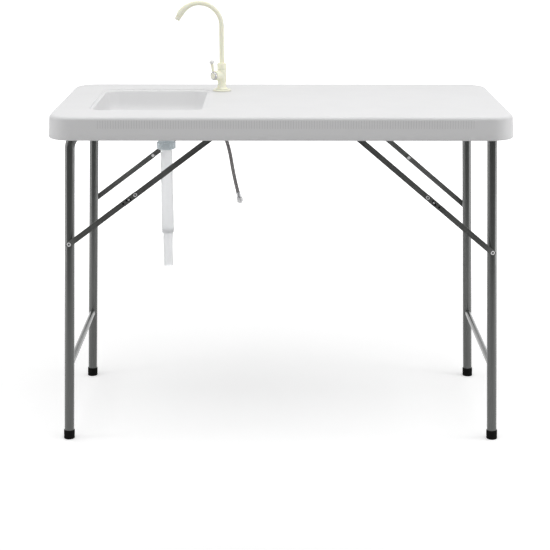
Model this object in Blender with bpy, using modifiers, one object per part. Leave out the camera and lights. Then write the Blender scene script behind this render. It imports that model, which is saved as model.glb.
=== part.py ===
"""Folding sink table: a moulded top with a basin, two folding leg frames, a tap and a drain.

Metres, +Z up. The origin is on the floor under the middle of the top. X runs along the top with
the basin at -X, and -Y is the front edge. Each leg frame is built about its own pivot, and each
stay about its own rivet, under an empty that lies on the joint's axis.
"""
import math

import bmesh
import bpy
from mathutils import Matrix, Vector

OBJECT_NAME = "folding_sink_table"

# Running gap between neighbouring pieces, and the turn of round cutters about their own axes
GAP = 0.0003
CUTTER_ROLL = math.radians(3)

# Top: a thick deck inside a deep apron, whose outer wall leans out towards the rim
TOP_LENGTH = 1.143
TOP_WIDTH = 0.597
TOP_HEIGHT = 0.850
TOP_CORNER = 0.060
EDGE_ROUND = 0.009
DECK_THICKNESS = 0.020
APRON_DEPTH = 0.058
APRON_DRAFT = math.radians(3.5)
RIM_ROUND = 0.003
SIDE_LAND = 0.0255
END_LAND = 0.0245
RECESS_CORNER = 0.018
FLUTE_PITCH = 0.050
FLUTE_DEPTH = 0.005
FLUTE_STEPS = 4

# Basin, moulded into the left end of the top
BASIN_LENGTH = 0.276
BASIN_WIDTH = 0.360
BASIN_DEPTH = 0.071
BASIN_CORNER = 0.036
BASIN_TAPER = math.radians(8)
BASIN_FILLET = 0.014
BASIN_WALL = 0.0045
BASIN_FLOOR = 0.005
BASIN_TO_BAR = 0.0068
LEDGE_WIDTH = 0.008
LEDGE_BACK = 0.014
LEDGE_DEPTH = 0.003

# Leg frames of round tube
SPLAY = math.radians(2.17)
LEG_RADIUS = 0.0125
LEG_WALL = 0.0012
LEG_TO_END = 0.0300
BEND_RADIUS = 0.045
BEND_ANGLE = math.radians(38)
LEG_OVER_BAR = 0.002
BAR_RADIUS = 0.0095
CROSSBAR_RADIUS = 0.008
CROSSBAR_HEIGHT = 0.195
FOOT_WALL = 0.0013
FOOT_SOLE = 0.004
FOOT_HEIGHT = 0.024
FOLDED_CLEARANCE = 0.0017
DECK_CLEARANCE = 0.0007

# Rails, stays and rivets
RAIL_SHEET = 0.0015
RAIL_FLANGE = 0.0092
RAIL_EDGE = 0.0085
RAIL_END_MARGIN = 0.0185
STAY_WIDTH = 0.014
STAY_DEPTH = 0.0045
STAY_SHEET = 0.0012
STAY_TAB = 0.016
STAY_END = 0.008
STAY_OVERLAP = 0.044
LOCK_HOLE_RADIUS = 0.0022
LOCK_HOLE_FROM_END = 0.0045
LOCK_SLOT_FROM_KNUCKLE = 0.027
LOCK_SLOT_LENGTH = 0.008
LOCK_SLOT_WIDTH = 0.0024
LOCK_SLOT_TURN = math.radians(20)
SPACER = 0.0012
SPACER_RADIUS = 0.0065
RIVET_HEAD_RADIUS = 0.0053
RIVET_HEAD = 0.0016
RIVET_COLLAR_RADIUS = 0.0045
RIVET_SHANK_RADIUS = 0.0030
RIVET_BORE_RADIUS = 0.0016
RIVET_TAIL = 0.0012
LEFT_ANCHOR_REACH = 0.3318
LEFT_ANCHOR_DROP = 0.0125
LEFT_STAY_TO_PIVOT = 0.2933
RIGHT_ANCHOR_REACH = 0.3563
RIGHT_STAY_TO_PIVOT = 0.3130
BUSH_FLANGE = 0.0012
BUSH_BOSS = 0.012
BUSH_STEM_RADIUS = 0.004
SCREW_HEAD_RADIUS = 0.004
SCREW_HEAD = 0.0017
SCREW_SHANK_RADIUS = 0.0018
SCREW_GRIP = 0.010
SCREW_TO_PIVOT = 0.0245
SCREW_TO_ANCHOR = 0.055

# Drain
DRAIN_FROM_BASIN_MIDDLE = 0.040
DRAIN_Y = -0.065
DRAIN_FLANGE_RADIUS = 0.030
DRAIN_FLANGE = 0.002
DRAIN_TAIL_RADIUS = 0.0185
DRAIN_TAIL_LENGTH = 0.036
DRAIN_BORE_RADIUS = 0.0145
STRAINER_SEAT_RADIUS = 0.0166
STRAINER_SEAT_DEPTH = 0.003
STRAINER_THICKNESS = 0.0015
STRAINER_HOLE_RADIUS = 0.0030
STRAINER_HOLE_CIRCLE = 0.0098
STRAINER_HOLES = 7
DRAIN_GASKET = 0.0017
DRAIN_NUT_WALL = 0.0025
DRAIN_NUT_BAND = 0.0030
DRAIN_NUT_NECK = 0.008
DRAIN_NUT_LENGTH = 0.0265
DRAIN_NUT_LIP = 0.003
PIPE_WALL = 0.0015
PIPE_FLANGE = 0.0022
PIPE_TOP_RADIUS = 0.0151
PIPE_END_RADIUS = 0.0164
PIPE_LENGTH = 0.228
PIPE_LIP = 0.002
INNER_PIPE_TOP_RADIUS = 0.0128
INNER_PIPE_END_RADIUS = 0.0118
INNER_PIPE_DROP = 0.0905
INNER_COLLAR = 0.004
INNER_COLLAR_CLEARANCE = 0.0005

# Tap, on the deck by the basin's back right corner
TAP_FROM_BASIN_EDGE = 0.040
TAP_FROM_BASIN_BACK = 0.025
TAP_GASKET = 0.0012
TAP_GASKET_RADIUS = 0.0262
TAP_BASE_RADIUS = 0.0240
TAP_BASE = 0.0040
SHANK_RADIUS = 0.0100
SHANK_BORE_RADIUS = 0.0045
SHANK_BELOW_DECK = 0.037
SHANK_WASHER = 0.0015
SHANK_WASHER_RADIUS = 0.018
LOCKNUT_RADIUS = 0.0165
LOCKNUT = 0.008
TAP_BELL_RADIUS = 0.0172
TAP_COLUMN_RADIUS = 0.0115
TAP_BODY_RADIUS = 0.0128
TAP_BODY_LOW = 0.026
BARREL_ABOVE_TOP = 0.0435
BARREL_RADIUS = 0.0125
BARREL_LENGTH = 0.027
BARREL_TURN = math.radians(225)
COLLAR_LOW = 0.0600
COLLAR_HIGH = 0.0755
COLLAR_RADIUS = 0.0126
SPOUT_RADIUS = 0.0067
SPOUT_WALL = 0.0015
SPOUT_SOCKET = 0.008
SPOUT_BEND_RADIUS = 0.0597
SPOUT_BEND_HEIGHT = 0.1765
SPOUT_BEND_ANGLE = math.radians(150)
SPOUT_TIP = 0.003
SPOUT_STEPS = 12
SPOUT_FLARE_FROM = 8
SPOUT_END_RADIUS = 0.0093
AERATOR_RADIUS = 0.0078
AERATOR_LENGTH = 0.014
AERATOR_BORE_RADIUS = 0.0035
LEVER_HUB_RADIUS = 0.0113
LEVER_HUB = 0.006
LEVER_CAP_RADIUS = 0.0080
LEVER_CAP = 0.0010
LEVER_ARM_LENGTH = 0.033
LEVER_ARM_LOW_RADIUS = 0.0038
LEVER_ARM_HIGH_RADIUS = 0.0048
LEVER_KNOB_RADIUS = 0.0068
LEVER_LEAN = math.radians(10)

# Supply hose: a nut on the tap's shank, a ferrule, the free hose, a ferrule and a connector
HOSE_NUT_RADIUS = 0.0135
HOSE_NUT = 0.022
HOSE_NUT_CUP = 0.010
FERRULE_RADIUS = 0.0065
FERRULE_LENGTH = 0.018
HOSE_RADIUS = 0.005
CONNECTOR_RADIUS = 0.0088
CONNECTOR_LENGTH = 0.013
CONNECTOR_NOSE_RADIUS = 0.0060
CONNECTOR_NOSE = 0.004
END_FERRULE_LENGTH = 0.014
HOSE_POINTS = 20
HOSE_ROUTE = [
    (0.000, 0.000, 0.000),
    (0.000, 0.000, -0.014),
    (0.006, -0.002, -0.034),
    (0.015, -0.006, -0.060),
    (0.022, -0.009, -0.090),
    (0.028, -0.012, -0.125),
    (0.035, -0.014, -0.160),
    (0.0420, -0.0155, -0.190),
]

# What follows from the sizes above
DECK_UNDER = TOP_HEIGHT - DECK_THICKNESS
RIM_Z = TOP_HEIGHT - APRON_DEPTH
WALL_TOP_Z = TOP_HEIGHT - EDGE_ROUND
RIM_FLARE = (WALL_TOP_Z - RIM_Z) * math.tan(APRON_DRAFT)
WALL_X = TOP_LENGTH / 2 + RIM_FLARE - END_LAND
WALL_Y = TOP_WIDTH / 2 + RIM_FLARE - SIDE_LAND

RAIL_OUT = WALL_Y - GAP
RAIL_IN = RAIL_OUT - RAIL_SHEET
UPPER_OUT = RAIL_IN - GAP
UPPER_IN = UPPER_OUT - STAY_DEPTH
LOWER_OUT = UPPER_IN - GAP
LOWER_IN = LOWER_OUT - STAY_DEPTH
SPACER_OUT = LOWER_IN - GAP
SPACER_IN = SPACER_OUT - SPACER
LEG_Y = SPACER_IN - GAP - LEG_RADIUS

FOOT_RADIUS = LEG_RADIUS + GAP + FOOT_WALL
LEFT_LEG_OFFSET = LEG_RADIUS + FOOT_RADIUS + FOLDED_CLEARANCE
PIVOT_Z = DECK_UNDER - FOOT_RADIUS - DECK_CLEARANCE
LEG_AXIS_X = WALL_X - LEG_TO_END
FOLD_ANGLE = math.pi / 2 + SPLAY
RAIL_LOW = PIVOT_Z - LEFT_ANCHOR_DROP - RAIL_EDGE
RAIL_END = WALL_X - RAIL_END_MARGIN
BAR_BORE = BAR_RADIUS - LEG_WALL
BUSH_IN = RAIL_IN - GAP - BUSH_FLANGE

SIDES = {
    "left": {
        "sign": -1.0,
        "offset": LEFT_LEG_OFFSET,
        "pivot": LEG_AXIS_X - LEFT_LEG_OFFSET,
        "reach": LEFT_ANCHOR_REACH,
        "drop": LEFT_ANCHOR_DROP,
        "stay_down": LEFT_STAY_TO_PIVOT,
    },
    "right": {
        "sign": 1.0,
        "offset": 0.0,
        "pivot": LEG_AXIS_X,
        "reach": RIGHT_ANCHOR_REACH,
        "drop": 0.0,
        "stay_down": RIGHT_STAY_TO_PIVOT,
    },
}
ROWS = {"front": -1.0, "back": 1.0}

BASIN_LEFT = -SIDES["left"]["pivot"] + BAR_RADIUS + BASIN_TO_BAR
BASIN_X = BASIN_LEFT + BASIN_LENGTH / 2
BASIN_RIGHT = BASIN_LEFT + BASIN_LENGTH
FLOOR_Z = TOP_HEIGHT - BASIN_DEPTH
BASIN_UNDER = FLOOR_Z - BASIN_FLOOR
DRAIN_X = BASIN_X + DRAIN_FROM_BASIN_MIDDLE
TAP_X = BASIN_RIGHT + TAP_FROM_BASIN_EDGE
TAP_Y = BASIN_WIDTH / 2 - TAP_FROM_BASIN_BACK

# Colour, roughness and metallic of each finish
FINISHES = {
    "moulded_white": ((0.80, 0.80, 0.79), 0.45, 0.0),
    "painted_grey": ((0.105, 0.105, 0.100), 0.40, 0.3),
    "dark_steel": ((0.045, 0.047, 0.045), 0.45, 0.6),
    "bright_steel": ((0.72, 0.72, 0.72), 0.25, 1.0),
    "black_rubber": ((0.012, 0.012, 0.012), 0.75, 0.0),
    "bush_plastic": ((0.05, 0.05, 0.05), 0.5, 0.0),
    "ivory": ((0.86, 0.84, 0.62), 0.30, 0.0),
    "knob_white": ((0.74, 0.75, 0.72), 0.35, 0.0),
    "chrome": ((0.62, 0.62, 0.62), 0.12, 1.0),
    "blue_nut": ((0.42, 0.58, 0.72), 0.35, 0.0),
    "milky_plastic": ((0.70, 0.72, 0.74), 0.35, 0.0),
    "braid": ((0.30, 0.28, 0.28), 0.40, 0.8),
}


def clear_scene():
    """Remove whatever the open file holds."""
    for item in list(bpy.data.objects):
        bpy.data.objects.remove(item, do_unlink=True)


def new_collection(name):
    """Add a collection to the scene."""
    collection = bpy.data.collections.new(name)
    bpy.context.scene.collection.children.link(collection)
    return collection


clear_scene()
PARTS = new_collection(OBJECT_NAME)
CUTTERS = new_collection("cutters")


def add_part(name, mesh, finish, parent=None):
    """Add a sub-part with a material of its own."""
    colour, roughness, metallic = FINISHES[finish]
    material = bpy.data.materials.new(name)
    material.use_nodes = True
    shader = material.node_tree.nodes["Principled BSDF"]
    shader.inputs["Base Color"].default_value = (*colour, 1.0)
    shader.inputs["Roughness"].default_value = roughness
    shader.inputs["Metallic"].default_value = metallic
    mesh.materials.append(material)
    item = bpy.data.objects.new(name, mesh)
    item.parent = parent
    PARTS.objects.link(item)
    return item


def add_cutter(name, mesh, parent=None):
    """Add a solid that only cuts or joins others."""
    item = bpy.data.objects.new(name, mesh)
    item.parent = parent
    item.hide_render = True
    item.display_type = "WIRE"
    CUTTERS.objects.link(item)
    return item


def add_frame(name, location, turn=(0.0, 0.0, 0.0), parent=None):
    """Add an empty that carries the pieces of one joint."""
    item = bpy.data.objects.new(name, None)
    item.empty_display_size = 0.03
    item.location = location
    item.rotation_euler = turn
    item.parent = parent
    PARTS.objects.link(item)
    return item


def combine(item, other, operation):
    """Cut or join one piece with another."""
    modifier = item.modifiers.new(operation.lower(), "BOOLEAN")
    modifier.operation = operation
    modifier.object = other
    modifier.solver = "EXACT"


def mesh_from(shape, name):
    """Close a bmesh into a mesh."""
    mesh = bpy.data.meshes.new(name)
    shape.to_mesh(mesh)
    shape.free()
    return mesh


def evaluated_mesh(item):
    """The item's mesh with its modifiers, in its own space."""
    bpy.context.view_layer.update()
    graph = bpy.context.evaluated_depsgraph_get()
    return bpy.data.meshes.new_from_object(item.evaluated_get(graph))


def add_cylinder(shape, start, end, radius, sides=16):
    """Add a round bar between two points, rolled a little so that no corner meets a tube's corner."""
    start, end = Vector(start), Vector(end)
    along = end - start
    place = Matrix.Translation((start + end) / 2) @ along.to_track_quat("Z", "Y").to_matrix().to_4x4()
    place = place @ Matrix.Rotation(CUTTER_ROLL, 4, "Z")
    bmesh.ops.create_cone(
        shape, cap_ends=True, segments=sides, radius1=radius, radius2=radius, depth=along.length, matrix=place
    )


def add_box(shape, low, high, turn=None):
    """Add a box between two corners, turned about its middle where asked."""
    low, high = Vector(low), Vector(high)
    size = Matrix.Diagonal((*(high - low), 1.0))
    place = Matrix.Translation((low + high) / 2)
    if turn is not None:
        place = place @ turn
    bmesh.ops.create_cube(shape, size=1.0, matrix=place @ size)


def turn_profile(item, profile, sides):
    """Give an empty mesh a profile of (radius, height) down its outer side, and turn it about Z."""
    count = len(profile)
    pairs = [(index, (index + 1) % count) for index in range(count)]
    edges = [pair for pair in pairs if any(profile[index][0] > 0.0 for index in pair)]
    item.data.from_pydata([(radius, 0.0, height) for radius, height in profile], edges, [])
    screw = item.modifiers.new("turn", "SCREW")
    screw.axis = "Z"
    screw.angle = math.tau
    screw.steps = sides
    screw.render_steps = sides
    screw.use_merge_vertices = True
    screw.merge_threshold = 0.00001
    screw.use_smooth_shade = True


def turned(name, profile, finish, parent=None, sides=20):
    """A piece turned about its own Z."""
    item = add_part(name, bpy.data.meshes.new(name), finish, parent)
    turn_profile(item, profile, sides)
    return item


def turned_cutter(name, profile, parent=None, sides=10):
    """A turned solid that is joined to another piece."""
    item = add_cutter(name, bpy.data.meshes.new(name), parent)
    turn_profile(item, profile, sides)
    return item


def place_across(item, x, z, row):
    """Stand a turned piece across the table at x and z, its own +Z away from the middle."""
    item.location = (x, 0.0, z)
    item.rotation_euler = (-row * math.pi / 2, 0.0, 0.0)


def tube_curve(name, points, radius, resolution, swells=None):
    """A round tube along a path of straight runs, its radius scaled at each point where asked."""
    curve = bpy.data.curves.new(name, "CURVE")
    curve.dimensions = "3D"
    curve.bevel_depth = radius
    curve.bevel_resolution = resolution
    curve.use_fill_caps = True
    spline = curve.splines.new("POLY")
    spline.points.add(len(points) - 1)
    for point, place in zip(spline.points, points):
        point.co = (*place, 1.0)
    for point, swell in zip(spline.points, swells or []):
        point.radius = swell
    return curve


def tube_mesh(name, points, radius, resolution, swells=None):
    """The same tube as a closed mesh, for cutting and joining."""
    item = bpy.data.objects.new(name + "_path", tube_curve(name, points, radius, resolution, swells))
    CUTTERS.objects.link(item)
    mesh = evaluated_mesh(item)
    curve = item.data
    bpy.data.objects.remove(item, do_unlink=True)
    bpy.data.curves.remove(curve)
    shape = bmesh.new()
    shape.from_mesh(mesh)
    bmesh.ops.remove_doubles(shape, verts=shape.verts, dist=0.00001)
    shape.to_mesh(mesh)
    shape.free()
    return mesh


def extended(points, by):
    """A path with both ends drawn out along their own directions."""
    first, last = Vector(points[0]), Vector(points[-1])
    before = first + (first - Vector(points[1])).normalized() * by
    after = last + (last - Vector(points[-2])).normalized() * by
    return [before, *[Vector(point) for point in points[1:-1]], after]


def hollow_tube(name, points, radius, wall, finish, parent=None, resolution=6, swells=None):
    """A tube with an open bore."""
    item = add_part(name, tube_mesh(name, points, radius, resolution, swells), finish, parent)
    bore = tube_mesh(name + "_bore", extended(points, radius), radius - wall, resolution)
    combine(item, add_cutter(name + "_bore", bore, parent), "DIFFERENCE")
    return item


def rounded_outline(half_x, half_y, corner, steps):
    """Corner points of a rectangle with round corners, counter-clockwise."""
    points = []
    for turn, (side_x, side_y) in enumerate(((1, 1), (-1, 1), (-1, -1), (1, -1))):
        centre_x = side_x * (half_x - corner)
        centre_y = side_y * (half_y - corner)
        for step in range(steps + 1):
            angle = (turn + step / steps) * math.pi / 2
            points.append((centre_x + corner * math.cos(angle), centre_y + corner * math.sin(angle)))
    return points


def fluted_outline(half_x, half_y, corner, corner_steps):
    """A rounded outline whose straight sides are bitten outwards by a row of shallow flutes."""
    corners = rounded_outline(half_x, half_y, corner, corner_steps)
    per_corner = corner_steps + 1
    points = []
    for index in range(4):
        points.extend(corners[index * per_corner:(index + 1) * per_corner])
        start = Vector(points[-1])
        end = Vector(corners[(index + 1) * per_corner % len(corners)])
        along = end - start
        count = int(along.length / FLUTE_PITCH)
        margin = (along.length - count * FLUTE_PITCH) / 2
        along.normalize()
        away = Vector((along.y, -along.x))
        for step in range(count * FLUTE_STEPS + 1):
            reach = margin + step * FLUTE_PITCH / FLUTE_STEPS
            bite = FLUTE_DEPTH * math.sin(math.pi * (step % FLUTE_STEPS) / FLUTE_STEPS)
            points.append(tuple(start + along * reach + away * bite))
    return points


def loft(name, rings):
    """A closed solid through rings of equal point counts, listed from the bottom up."""
    shape = bmesh.new()
    rows = [[shape.verts.new(point) for point in ring] for ring in rings]
    count = len(rows[0])
    for low, high in zip(rows, rows[1:]):
        for index in range(count):
            after = (index + 1) % count
            shape.faces.new((low[index], low[after], high[after], high[index]))
    shape.faces.new(list(reversed(rows[0])))
    shape.faces.new(rows[-1])
    return mesh_from(shape, name)


def at_height(outline, height, centre=(0.0, 0.0)):
    """Lift a flat outline to a height, about a centre."""
    return [(x + centre[0], y + centre[1], height) for x, y in outline]


def top_shell_mesh():
    """The top's outside: a rim with a small round, a leaning wall and a rounded upper edge."""
    half_x, half_y, steps = TOP_LENGTH / 2, TOP_WIDTH / 2, 7

    def ring(grow, height):
        return at_height(rounded_outline(half_x + grow, half_y + grow, TOP_CORNER + grow, steps), height)

    rings = [
        ring(RIM_FLARE - RIM_ROUND, RIM_Z),
        ring(RIM_FLARE - RIM_ROUND * 0.3, RIM_Z + RIM_ROUND * 0.3),
        ring(RIM_FLARE, RIM_Z + RIM_ROUND),
    ]
    edge_steps = 4
    for step in range(edge_steps + 1):
        angle = math.pi / 2 * step / edge_steps
        inset = EDGE_ROUND * (1 - math.cos(angle))
        rings.append(ring(-inset, WALL_TOP_Z + EDGE_ROUND * math.sin(angle)))
    return loft("top_shell", rings)


def basin_rings(grow, floor, fillet, top):
    """Rings of the basin's inside, or of its outside where it is grown by the wall."""
    def ring(height, inset):
        taper = (TOP_HEIGHT - height) * math.tan(BASIN_TAPER)
        less = taper + inset - grow
        half_x, half_y = BASIN_LENGTH / 2 - less, BASIN_WIDTH / 2 - less
        outline = rounded_outline(half_x, half_y, BASIN_CORNER - less, 6)
        return at_height(outline, height, (BASIN_X, 0.0))

    rings = []
    fillet_steps = 3
    for step in range(fillet_steps + 1):
        angle = math.pi / 2 * step / fillet_steps
        rings.append(ring(floor + fillet * (1 - math.cos(angle)), fillet * (1 - math.sin(angle))))
    rings.append(ring(top, 0.0))
    return rings


def tap_hole_points():
    """The ends of the hole that the tap's shank passes through."""
    return (TAP_X, TAP_Y, DECK_UNDER - 0.01), (TAP_X, TAP_Y, TOP_HEIGHT + 0.01)


def screw_row():
    """Where each rail is screwed to the apron: left of both bushes, and between the stay anchors."""
    left_end = -SIDES["left"]["pivot"] - SCREW_TO_PIVOT
    left_middle = anchor_point(SIDES["left"])[0] + SCREW_TO_ANCHOR
    right_middle = anchor_point(SIDES["right"])[0] - SCREW_TO_ANCHOR
    right_end = SIDES["right"]["pivot"] - SCREW_TO_PIVOT
    return left_end, left_middle, right_middle, right_end


def screw_height():
    """Screws sit half way up the rails."""
    return (RAIL_LOW + DECK_UNDER) / 2


def build_top():
    """The blow-moulded top with its basin, recess and holes."""
    top = add_part("tabletop", top_shell_mesh(), "moulded_white")
    recess_outline = fluted_outline(WALL_X, WALL_Y, RECESS_CORNER, 4)
    recess = loft("recess", [at_height(recess_outline, z) for z in (RIM_Z - 0.02, DECK_UNDER)])
    combine(top, add_cutter("recess", recess), "DIFFERENCE")

    basin = loft("basin_outside", basin_rings(BASIN_WALL, BASIN_UNDER, BASIN_FILLET + BASIN_WALL, TOP_HEIGHT - 0.006))
    combine(top, add_cutter("basin_outside", basin), "UNION")
    hollow = loft("basin_inside", basin_rings(0.0, FLOOR_Z, BASIN_FILLET, TOP_HEIGHT + 0.004))
    combine(top, add_cutter("basin_inside", hollow), "DIFFERENCE")

    half_y = BASIN_WIDTH / 2 + (LEDGE_WIDTH + LEDGE_BACK) / 2
    outline = rounded_outline(BASIN_LENGTH / 2 + LEDGE_WIDTH, half_y, BASIN_CORNER + LEDGE_WIDTH, 6)
    centre = (BASIN_X, (LEDGE_BACK - LEDGE_WIDTH) / 2)
    ledge = loft("ledge", [at_height(outline, TOP_HEIGHT + z, centre) for z in (-LEDGE_DEPTH, 0.01)])
    combine(top, add_cutter("ledge", ledge), "DIFFERENCE")

    holes = bmesh.new()
    add_cylinder(holes, *tap_hole_points(), SHANK_RADIUS + GAP, 20)
    drain_low = (DRAIN_X, DRAIN_Y, BASIN_UNDER - 0.01)
    drain_high = (DRAIN_X, DRAIN_Y, FLOOR_Z + 0.01)
    add_cylinder(holes, drain_low, drain_high, DRAIN_TAIL_RADIUS + GAP, 24)
    for row in ROWS.values():
        for x in screw_row():
            inner = (x, row * (WALL_Y - 0.002), screw_height())
            outer = (x, row * (WALL_Y + SCREW_GRIP + GAP), screw_height())
            add_cylinder(holes, inner, outer, SCREW_SHANK_RADIUS + GAP, 10)
    combine(top, add_cutter("top_holes", mesh_from(holes, "top_holes")), "DIFFERENCE")
    return top


def anchor_point(side):
    """Where an upper stay is riveted to the rail, as world x and z."""
    return side["sign"] * (side["pivot"] - side["reach"]), PIVOT_Z - side["drop"]


def lug_point(side):
    """Where a lower stay is riveted to the leg, as world x and z, with the table standing."""
    out = side["offset"] * math.cos(SPLAY) + side["stay_down"] * math.sin(SPLAY)
    up = side["offset"] * math.sin(SPLAY) - side["stay_down"] * math.cos(SPLAY)
    return side["sign"] * (side["pivot"] + out), PIVOT_Z + up


def stay_lengths(side):
    """Upper and lower lengths that are straight when standing and flat along the leg when folded."""
    anchor, lug = Vector(anchor_point(side)), Vector(lug_point(side))
    span = (lug - anchor).length
    folded_x = side["reach"] - side["stay_down"]
    folded_z = side["drop"] - side["offset"]
    lower = (span ** 2 - folded_x ** 2 - folded_z ** 2) / (2 * (span + folded_x))
    return span - lower, lower


def sheet_mesh(name, faces):
    """An open sheet from four-sided or many-sided faces that share corners."""
    shape = bmesh.new()
    for face in faces:
        shape.faces.new([shape.verts.new(point) for point in face])
    bmesh.ops.remove_doubles(shape, verts=shape.verts, dist=0.00001)
    bmesh.ops.recalc_face_normals(shape, faces=shape.faces)
    return mesh_from(shape, name)


def thicken(item, sheet):
    """Give an open sheet its thickness, half to each side."""
    solidify = item.modifiers.new("sheet", "SOLIDIFY")
    solidify.thickness = sheet
    solidify.offset = 0.0
    solidify.use_even_offset = True


def rail_holes(row, item_name):
    """Holes in a rail for the pivot bushes and the stay anchors."""
    shape = bmesh.new()
    inner, outer = row * (RAIL_IN - 0.002), row * (RAIL_OUT + 0.002)
    for side in SIDES.values():
        pivot_x = side["sign"] * side["pivot"]
        add_cylinder(shape, (pivot_x, inner, PIVOT_Z), (pivot_x, outer, PIVOT_Z), BUSH_STEM_RADIUS + GAP)
        x, z = anchor_point(side)
        add_cylinder(shape, (x, inner, z), (x, outer, z), RIVET_SHANK_RADIUS + GAP, 12)
    return add_cutter(item_name, mesh_from(shape, item_name))


def build_rails():
    """Angle-section rails inside the long sides of the apron, and the screws that hold them."""
    for row_name, row in ROWS.items():
        web_y = row * (RAIL_IN + RAIL_SHEET / 2)
        flange_y = row * (RAIL_OUT - RAIL_FLANGE)
        high = DECK_UNDER - GAP - RAIL_SHEET / 2
        web = [(-RAIL_END, web_y, RAIL_LOW), (RAIL_END, web_y, RAIL_LOW), (RAIL_END, web_y, high), (-RAIL_END, web_y, high)]
        flange = [(-RAIL_END, web_y, high), (RAIL_END, web_y, high), (RAIL_END, flange_y, high), (-RAIL_END, flange_y, high)]
        name = f"rail_{row_name}"
        rail = add_part(name, sheet_mesh(name, [web, flange]), "dark_steel")
        thicken(rail, RAIL_SHEET)
        combine(rail, rail_holes(row, name + "_holes"), "DIFFERENCE")
        for index, x in enumerate(screw_row()):
            screw = turned_cutter(f"{name}_screw_{index + 1}", screw_profile(), sides=10)
            place_across(screw, x, screw_height(), row)
            combine(rail, screw, "UNION")


def screw_profile():
    """A pan-head screw, joined to its rail."""
    seat = RAIL_IN + RAIL_SHEET / 2
    head = RAIL_IN - GAP - SCREW_HEAD
    return [
        (0.0, WALL_Y + SCREW_GRIP),
        (SCREW_SHANK_RADIUS, WALL_Y + SCREW_GRIP - 0.002),
        (SCREW_SHANK_RADIUS, seat),
        (SCREW_HEAD_RADIUS, seat),
        (SCREW_HEAD_RADIUS, head + 0.0005),
        (SCREW_HEAD_RADIUS * 0.8, head),
        (0.0, head),
    ]


def build_table_pivots():
    """Plastic bushes that carry the pivot bars, and the rivets that anchor the upper stays."""
    bush = [
        (0.0, RAIL_OUT),
        (BUSH_STEM_RADIUS, RAIL_OUT),
        (BUSH_STEM_RADIUS, RAIL_IN - GAP),
        (BAR_RADIUS, RAIL_IN - GAP),
        (BAR_RADIUS, BUSH_IN),
        (BAR_BORE - GAP, BUSH_IN),
        (BAR_BORE - GAP, BUSH_IN - BUSH_BOSS),
        (0.0, BUSH_IN - BUSH_BOSS),
    ]
    head_seat = UPPER_IN - GAP
    web = UPPER_IN + STAY_SHEET + GAP
    rivet = [
        (RIVET_BORE_RADIUS, RAIL_OUT),
        (RIVET_SHANK_RADIUS, RAIL_OUT),
        (RIVET_SHANK_RADIUS, RAIL_IN - GAP),
        (RIVET_COLLAR_RADIUS, RAIL_IN - GAP),
        (RIVET_COLLAR_RADIUS, web),
        (RIVET_SHANK_RADIUS, web),
        (RIVET_SHANK_RADIUS, head_seat),
        (RIVET_HEAD_RADIUS, head_seat),
        (RIVET_HEAD_RADIUS * 0.7, head_seat - RIVET_HEAD),
        (RIVET_BORE_RADIUS, head_seat - RIVET_HEAD),
    ]
    for side_name, side in SIDES.items():
        x, z = anchor_point(side)
        for row_name, row in ROWS.items():
            prefix = f"{side_name}_{row_name}"
            bush_item = turned(f"{prefix}_bush", bush, "bush_plastic", sides=14)
            place_across(bush_item, side["sign"] * side["pivot"], PIVOT_Z, row)
            rivet_item = turned(f"{prefix}_anchor_rivet", rivet, "bright_steel", sides=10)
            place_across(rivet_item, x, z, row)


def leg_path(side, length):
    """A leg's middle line from its pivot bar to its lower end, in the leg frame's own X and Z."""
    offset = side["offset"]
    if offset == 0.0:
        return [(0.0, LEG_OVER_BAR), (0.0, -length)]
    stub = (offset - BEND_RADIUS * (1 - math.cos(BEND_ANGLE))) / math.sin(BEND_ANGLE)
    drop = stub * math.cos(BEND_ANGLE) + BEND_RADIUS * math.sin(BEND_ANGLE)
    centre_x, centre_z = offset - BEND_RADIUS, -drop
    path = [(-LEG_OVER_BAR * math.sin(BEND_ANGLE), LEG_OVER_BAR * math.cos(BEND_ANGLE))]
    bend_steps = 4
    for step in range(bend_steps + 1):
        angle = BEND_ANGLE * (1 - step / bend_steps)
        path.append((centre_x + BEND_RADIUS * math.cos(angle), centre_z + BEND_RADIUS * math.sin(angle)))
    path.append((offset, -length))
    return [(side["sign"] * x, z) for x, z in path]


def leg_reach(side):
    """The distance along the leg from its pivot's level to the floor."""
    return (PIVOT_Z + side["offset"] * math.sin(SPLAY)) / math.cos(SPLAY)


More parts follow.
